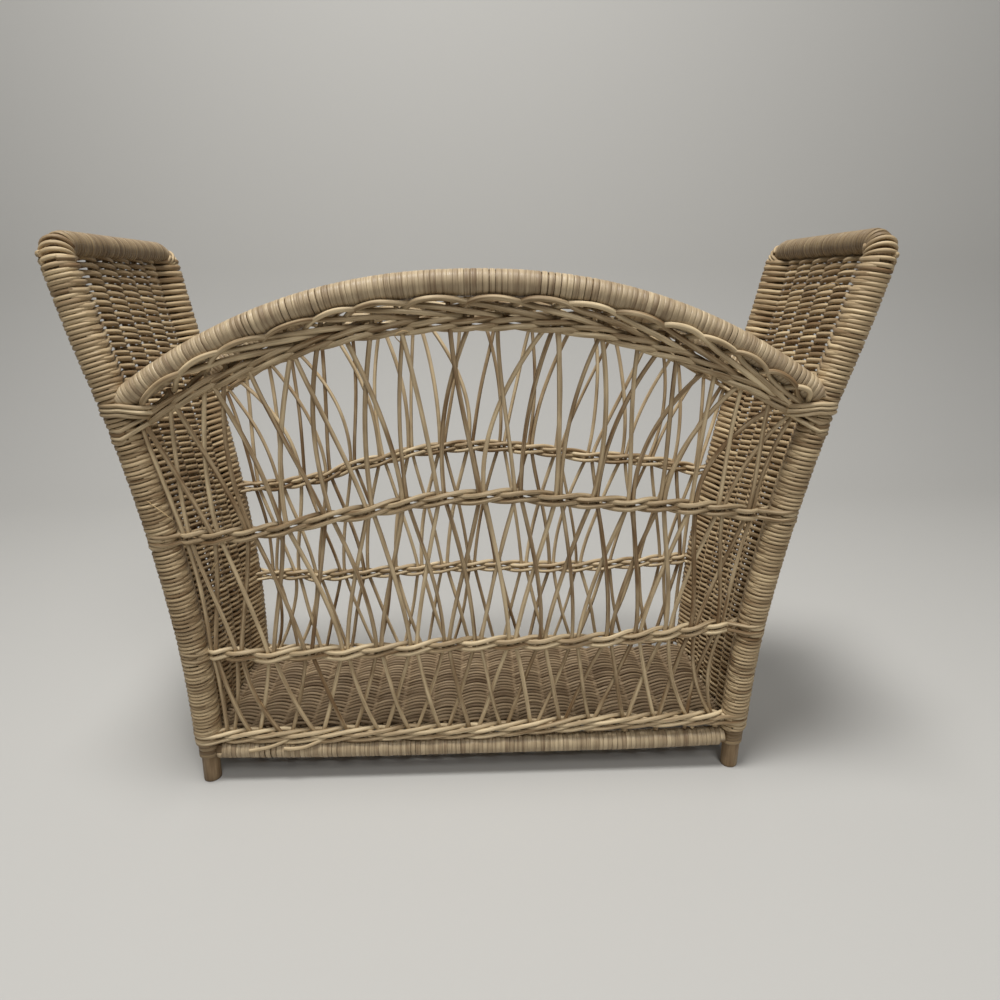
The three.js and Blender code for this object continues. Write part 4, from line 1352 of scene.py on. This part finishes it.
    def sunk_bands(self, side: Side) -> list[tuple[float, float]]:
        """Heights on one post where this face's strands lie over the ribs.

        Args:
            side: the post's end of the basket.

        Returns:
            From and to which height, for each row and the lashing.
        """
        edge = side.value * self.way
        bands = []
        for row, half in zip(Row, self.row_halves):
            middle = self.middle(row)
            height = float(self.row_height(row, self.x_of(edge * float(FORM.half_width(middle)), middle)))
            bands.append((height - half, height + half))
        lashed = self.lash_heights[0 if edge < 0 else 1]
        return [*bands, (lashed - self.lash_half, lashed + self.lash_half)]

    def build(self) -> None:
        """Builds all of the face."""
        self.arch()
        self.border()
        for row in (Row.TOP, Row.UPPER, Row.LOWER):
            self.paired_row(row)
        self.base_wale()
        self.stakes()
        self.base_rail()
        for side in Side:
            self.lashing(side)


# The woven ends


@dataclass
class WovenEnd:
    """A short end: five stakes and rows of twined weft between the two posts.

    `y` runs from front to back, `d` is the depth towards the basket's inside and `t` the height
    over a row's middle.
    """

    side: Side
    seed: int
    stake: float = 1.6
    stake_bottom: float = 31.0
    stake_top: float = 334.0
    stake_sway: float = 1.5
    strand: float = 1.28
    strand_flatness: tuple[float, float] = (0.97, 1.08)
    row_start: float = 2.0
    row_pitch: float = 3.84
    row_top: float = 333.2
    row_lift: float = 0.25
    slant: float = 0.96
    tone: float = 0.36
    tone_spread: float = 0.2
    post_room: float = 8.1
    post_swell: float = 0.33
    swell_from: float = 6.0
    swell_over: float = 5.0
    wrap_angles: tuple[float, float, float] = (68, 105, 150)
    wrap_radii: tuple[float, float, float] = (7.4, 7.4, 6.3)
    rail_margin: float = 6.5
    foot_bottom: float = 15.0
    foot_top: float = 32.0
    foot_cane: tuple[float, float] = (2.2, 16.2)

    def stake_y(self, index: Array, height: Array) -> Array:
        """Y of a stake at a height; the posts' edges lie one step outside the last ones."""
        step = 2 * (FORM.half_depth(height) - self.post_room) / (FORM.end_stake_count + 1)
        return (np.asarray(index, float) - (FORM.end_stake_count - 1) / 2) * step

    def place(self, y: Array, d: Array, z: Array) -> Array:
        """Points of the end in the basket's frame."""
        return np.stack([FORM.post_x(self.side.value, z) - self.side.value * d, y, z], 1)

    def stakes(self) -> None:
        """Builds the upright stakes, which end under the top bar."""
        mesh = ReedMesh(f"{self.side.word}_end_stakes")
        rng = np.random.default_rng(self.seed)
        z = np.linspace(self.stake_bottom, self.stake_top, 110)
        for index in range(FORM.end_stake_count):
            sway = self.stake_sway * eased(rng.normal(size=len(z)), 40)
            mesh.reed(self.place(self.stake_y(index, z) + sway, 0 * z, z), ALONG_Y, self.stake, rng)
        names = [f"{self.side.word}_end_stake_{k + 1}" for k in range(FORM.end_stake_count)]
        mesh.made(STAKE, "stake_reed", names)

    def rows(self) -> None:
        """Builds the twined rows, from the floor to the bar."""
        mesh = ReedMesh(f"{self.side.word}_end_rows")
        rng = np.random.default_rng(self.seed + 1)
        height = FORM.weave_bottom + self.row_start
        while height < self.row_top:
            lift = self.row_lift * eased(rng.normal(size=FORM.end_stake_count + 2), 1)
            for phase in (0, 1):
                self.row_strand(mesh, height, lift, phase, rng)
            height += self.row_pitch * (1 + 0.05 * rng.normal())
        mesh.made(WEFT, "weft_reed", [f"{self.side.word}_end_weave"])

    def row_strand(self, mesh: ReedMesh, height: float, lift: Array, phase: int,
                   rng: np.random.Generator) -> None:
        """One of a row's two strands.

        Args:
            mesh: the weave's mesh.
            height: the row's height.
            lift: its own rise at each stake and at both posts.
            phase: 0 or 1, for which stakes it passes inside.
            rng: draws its tone and swellings.
        """
        count = FORM.end_stake_count
        room = float(FORM.half_depth(height)) - self.post_room
        index = np.arange(0.0, count - 1, 0.09)
        turn = math.pi * (index + 0.5 + phase)
        t = self.slant * np.cos(turn) + np.interp(index + 1, np.arange(count + 2), lift)
        y = self.stake_y(index, np.full_like(index, height))
        parts = [np.stack([y, (self.stake + self.strand) * np.sin(turn), t], 1)]
        for edge, last in ((-1, 0), (1, count - 1)):
            over = -np.sign(math.sin(math.pi * (last + 0.5 + phase)))
            parts.insert(0 if edge < 0 else 2, self.wrap(edge, over, height)[::edge])
        y, d, t = eased(respaced(np.concatenate(parts), 1.25), 4).T
        near = np.clip((np.abs(y) - room + self.swell_from) / self.swell_over, 0, 1)
        mesh.strand(self.place(y, d, height + t), UP, round_section(self.strand, 8) * self.strand_flatness,
                    np.clip(self.tone + self.tone_spread * rng.normal(), 0, 1),
                    1 + 0.03 * rng.normal() + 0.02 * eased(rng.normal(size=len(y)), 6)
                    + self.post_swell * near, rng.random() * START_SPREAD)

    def wrap(self, edge: int, over: float, height: float) -> Array:
        """The end of a row's strand, round its post until the ribs cover it.

        Args:
            edge: -1 at the front post, 1 at the back one.
            over: 1 if it passes the post inside the basket, -1 outside.
            height: the row's height.

        Returns:
            Rows of y, d and t, from the weave outwards.
        """
        angle = np.arange(self.wrap_angles[0], self.wrap_angles[2], 9)
        turn = np.radians(angle)
        radius = np.interp(angle, self.wrap_angles, self.wrap_radii)
        y = edge * (float(FORM.half_depth(height)) - radius * np.cos(turn))
        return np.stack([y, over * radius * np.sin(turn), np.full_like(turn, edge * over * self.slant)], 1)

    def rail(self) -> None:
        """Builds the short rail at the foot and its winding."""
        height = FORM.rail_height
        half = float(FORM.half_depth(height))
        y = np.linspace(-half, half, 40)
        line = np.stack([np.full_like(y, float(FORM.post_x(self.side.value, height))), y,
                         np.full_like(y, height)], 1)
        wound_rail(f"{self.side.word}_base", line, 2, ALONG_X, FORM.rail_radius, RAIL_CANE,
                   self.rail_margin, self.seed + 20)

    def feet(self) -> None:
        """Builds the cane round the posts at the base rails."""
        z = np.linspace(self.foot_bottom, self.foot_top, 30)
        for end in End:
            line = np.stack([FORM.post_x(self.side.value, z), end.value * FORM.half_depth(z), z], 1)
            mesh = ReedMesh(f"{end.word}_{self.side.word}_foot_cane")
            POST_CANE.wind(mesh, Spine(line, ALONG_X), *self.foot_cane, FORM.pole_radius,
                           self.seed + 30 + end.value)
            mesh.made(FOOT_CANE, "flat_cane", [f"{end.word}_{self.side.word}_foot_binding"])

    def build(self) -> None:
        """Builds all of the end."""
        self.stakes()
        self.rows()
        self.rail()
        self.feet()


# The floor


@dataclass
class WovenFloor:
    """Twined rows from end to end over stakes that run from front to back.

    The stakes stand as far apart as the faces' pairs would at `height`, and the rows stop
    `post_room` inside the posts, measured at `post_height`.
    """

    seed: int = 23
    height: float = 36.0
    middle: float = 34.1
    edge: float = 47.6
    stake: float = 1.5
    stake_jitter: float = 0.4
    stake_sway: float = 0.8
    strand: float = 1.12
    slant: float = 0.9
    row_start: float = 1.6
    row_pitch: float = 3.74
    row_lift: float = 0.18
    post_height: float = 31.0
    post_room: float = 4.2

    def build(self) -> None:
        """Builds the stakes and the rows."""
        rng = np.random.default_rng(self.seed)
        mesh = ReedMesh("floor_rows")
        count = FORM.pair_count
        half = float(FORM.half_width(self.height)) - FORM.edge_inset
        lean = float(FORM.lean(self.height))
        step = 2 * half / (count - 1)
        stake_x = lean - half + step * np.arange(count) + self.stake_jitter * rng.normal(size=count)
        y = np.linspace(-self.edge, self.edge, 60)
        for x in stake_x:
            sway = self.stake_sway * eased(rng.normal(size=len(y)), 20)
            path = np.stack([x + sway, y, np.full_like(y, self.middle)], 1)
            mesh.reed(path, UP, self.stake, rng, sides=8)
        left, right = (float(FORM.post_x(side, self.post_height)) - side * self.post_room
                       for side in (-1, 1))
        knots = np.concatenate([[stake_x[0] - step], stake_x, [stake_x[-1] + step]])
        for row in range(int(2 * self.edge / self.row_pitch)):
            lift = self.row_lift * rng.normal(size=count + 2)
            middle = -self.edge + self.row_start + row * self.row_pitch
            for strand in (0, 1):
                u = np.arange((left - lean + half) / step + 0.5, (right - lean + half) / step + 0.5, 0.07)
                turn = math.pi * (u + strand)
                x = np.clip(np.interp(u - 0.5, np.arange(-1, count + 1), knots), left, right)
                t = -self.slant * np.cos(turn) + np.interp(u + 0.5, np.arange(count + 2), lift)
                z = self.middle + (self.stake + self.strand) * np.sin(turn)
                mesh.strand(np.stack([x, middle + t, z], 1), ALONG_Y, round_section(self.strand, 8),
                            np.clip(0.5 + 0.25 * rng.normal(), 0, 1), None, rng.random() * START_SPREAD)
        mesh.made(FLOOR, "floor_reed", ["floor_weave"])


# Loose fibres


@dataclass
class LooseFibres:
    """Stray hairs of cane and reed that stand off the basket."""

    seed: int = 5
    radius: float = 0.28
    lines: tuple[tuple[tuple[float, float, float], ...], ...] = (
        ((-189.4, -66, 202.5), (-181.3, -67, 196), (-175.6, -66, 190)),
        ((-160, -63, 158), (-157.5, -66, 160.5), (-155, -65, 163.8)),
        ((-144.4, -56, 60.5), (-142.5, -59, 61.2), (-140.6, -61, 59.4)),
        ((-41, -70, 289), (-43, -75, 293), (-38, -76, 295.5), (-34, -73, 292.5)),
        ((187, -60, 316), (192, -61, 318), (197, -60, 315)))

    def build(self) -> None:
        """Builds every hair as a thin tapered strand."""
        mesh = ReedMesh("loose_fibres")
        rng = np.random.default_rng(self.seed)
        for knots in self.lines:
            path = threaded(knots, 8)
            scale = np.interp(np.linspace(0, 1, len(path)), [0, 0.7, 1], [1.0, 0.8, 0.25])
            mesh.strand(path, (0.3, 0.2, 1), round_section(self.radius, 5), rng.random(), scale,
                        rng.random() * 90)
        mesh.made(HAIR, "flat_cane")


# Room, light and camera


@dataclass(frozen=True)
class Studio:
    """A pale floor and backdrop, soft lamps and the camera at the photograph's angle.

    The floor and lamps are in metres, and the camera's place is in millimetres.
    """

    camera_place: tuple[float, float, float] = (-0.24, -430.26, 318.46)
    yaw: float = 1.82
    pitch: float = 18.07
    roll: float = -0.30
    lens: float = 23.904
    floor_colour: str = "bbb9b4"
    floor_gap: float = 0.0003
    lamp_aim: tuple[float, float, float] = (0, 0, 0.15)
    sky_colour: tuple[float, float, float, float] = (0.9, 0.93, 1.0, 1)
    sky_strength: float = 0.09

    def backdrop(self) -> None:
        """A floor that curves up into a wall behind."""
        turn = np.linspace(0, math.pi / 2, 12)
        depth = np.concatenate([[-3.0, -1.0, 0.0], 0.55 + 0.35 * np.sin(turn), [0.9]])
        height = np.concatenate([[0.0, 0.0, 0.0], 0.35 * (1 - np.cos(turn)), [3.0]])
        places = []
        for x in (-4.0, 4.0):
            places += [(x, float(d), float(h) - self.floor_gap) for d, h in zip(depth, height)]
        count = len(depth)
        faces = [(k, k + count, k + count + 1, k + 1) for k in range(count - 1)]
        mesh = bpy.data.meshes.new("backdrop")
        mesh.from_pydata(places, [], faces)
        mesh.polygons.foreach_set("use_smooth", [True] * len(faces))
        material = bpy.data.materials.new("pale_floor")
        material.use_nodes = True
        shader = material.node_tree.nodes["Principled BSDF"]
        shader.inputs["Base Color"].default_value = linear(self.floor_colour)
        shader.inputs["Roughness"].default_value = 0.85
        shader.inputs["Specular IOR Level"].default_value = 0.2
        mesh.materials.append(material)
        floor = bpy.data.objects.new("backdrop", mesh)
        bpy.context.scene.collection.objects.link(floor)

    def lamp(self, name: str, place: Sequence[float], size: float, power: float) -> None:
        """One soft square lamp that looks at the basket.

        Args:
            name: the lamp's name.
            place: where it hangs, in metres.
            size: its side in metres.
            power: in watts.
        """
        data = bpy.data.lights.new(name, "AREA")
        data.shape, data.size, data.energy = "SQUARE", size, power
        lamp = bpy.data.objects.new(name, data)
        lamp.location = place
        aim = Vector(self.lamp_aim) - Vector(place)
        lamp.rotation_mode = "QUATERNION"
        lamp.rotation_quaternion = aim.to_track_quat("-Z", "Y")
        bpy.context.scene.collection.objects.link(lamp)

    def light(self) -> None:
        """The lamps and the world's own light."""
        self.lamp("overhead", (-0.15, -0.25, 1.7), 0.45, 26.0)
        self.lamp("front", (0.35, -1.35, 1.75), 0.8, 14.0)
        world = bpy.data.worlds.new("studio")
        world.use_nodes = True
        sky = world.node_tree.nodes["Background"].inputs
        sky["Color"].default_value, sky["Strength"].default_value = self.sky_colour, self.sky_strength
        bpy.context.scene.world = world

    def camera(self) -> None:
        """The camera, placed by its measured yaw, pitch and roll."""
        yaw, pitch, roll = (math.radians(v) for v in (self.yaw, self.pitch, self.roll))
        ahead = Vector((math.sin(yaw) * math.cos(pitch), math.cos(yaw) * math.cos(pitch), -math.sin(pitch)))
        right = Vector((math.cos(yaw), -math.sin(yaw), 0))
        up = right.cross(ahead)
        right, up = (right * math.cos(roll) + up * math.sin(roll),
                     up * math.cos(roll) - right * math.sin(roll))
        data = bpy.data.cameras.new("camera")
        data.lens, data.sensor_width, data.sensor_fit = self.lens, 36.0, "HORIZONTAL"
        data.clip_start, data.clip_end = 0.01, 50
        camera = bpy.data.objects.new("camera", data)
        turned = Matrix((right, up, -ahead)).transposed().to_4x4()
        camera.matrix_world = Matrix.Translation(Vector(self.camera_place) * METRE) @ turned
        bpy.context.scene.collection.objects.link(camera)
        bpy.context.scene.camera = camera

    def build(self) -> None:
        """Sets up the whole studio."""
        bpy.context.scene.view_settings.view_transform = "Standard"
        self.camera()
        self.backdrop()
        self.light()


def dress_nails() -> None:
    """Gives the nails, which keep their CAD shape, their steel."""
    steel = nail_steel()
    for name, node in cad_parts.items():
        if name.endswith("_rail_nail"):
            node.data.materials.clear()
            node.data.materials.append(steel)
            log.info("%s: dressed", name)


def main() -> None:
    """Builds every part of the basket in order."""
    logging.basicConfig(level=logging.INFO, format="%(message)s")
    Studio().build()
    front, back = Panel(End.FRONT, seed=3), Panel(End.BACK, seed=8)
    for side, seed in ((Side.LEFT, 21), (Side.RIGHT, 22)):
        Hoop(side, seed=seed).build({End.FRONT: front.sunk_bands(side), End.BACK: back.sunk_bands(side)})
        WovenEnd(side, seed=seed + 30).build()
    front.build()
    back.build()
    WovenFloor().build()
    LooseFibres().build()
    dress_nails()


if __name__ == "__main__":
    main()
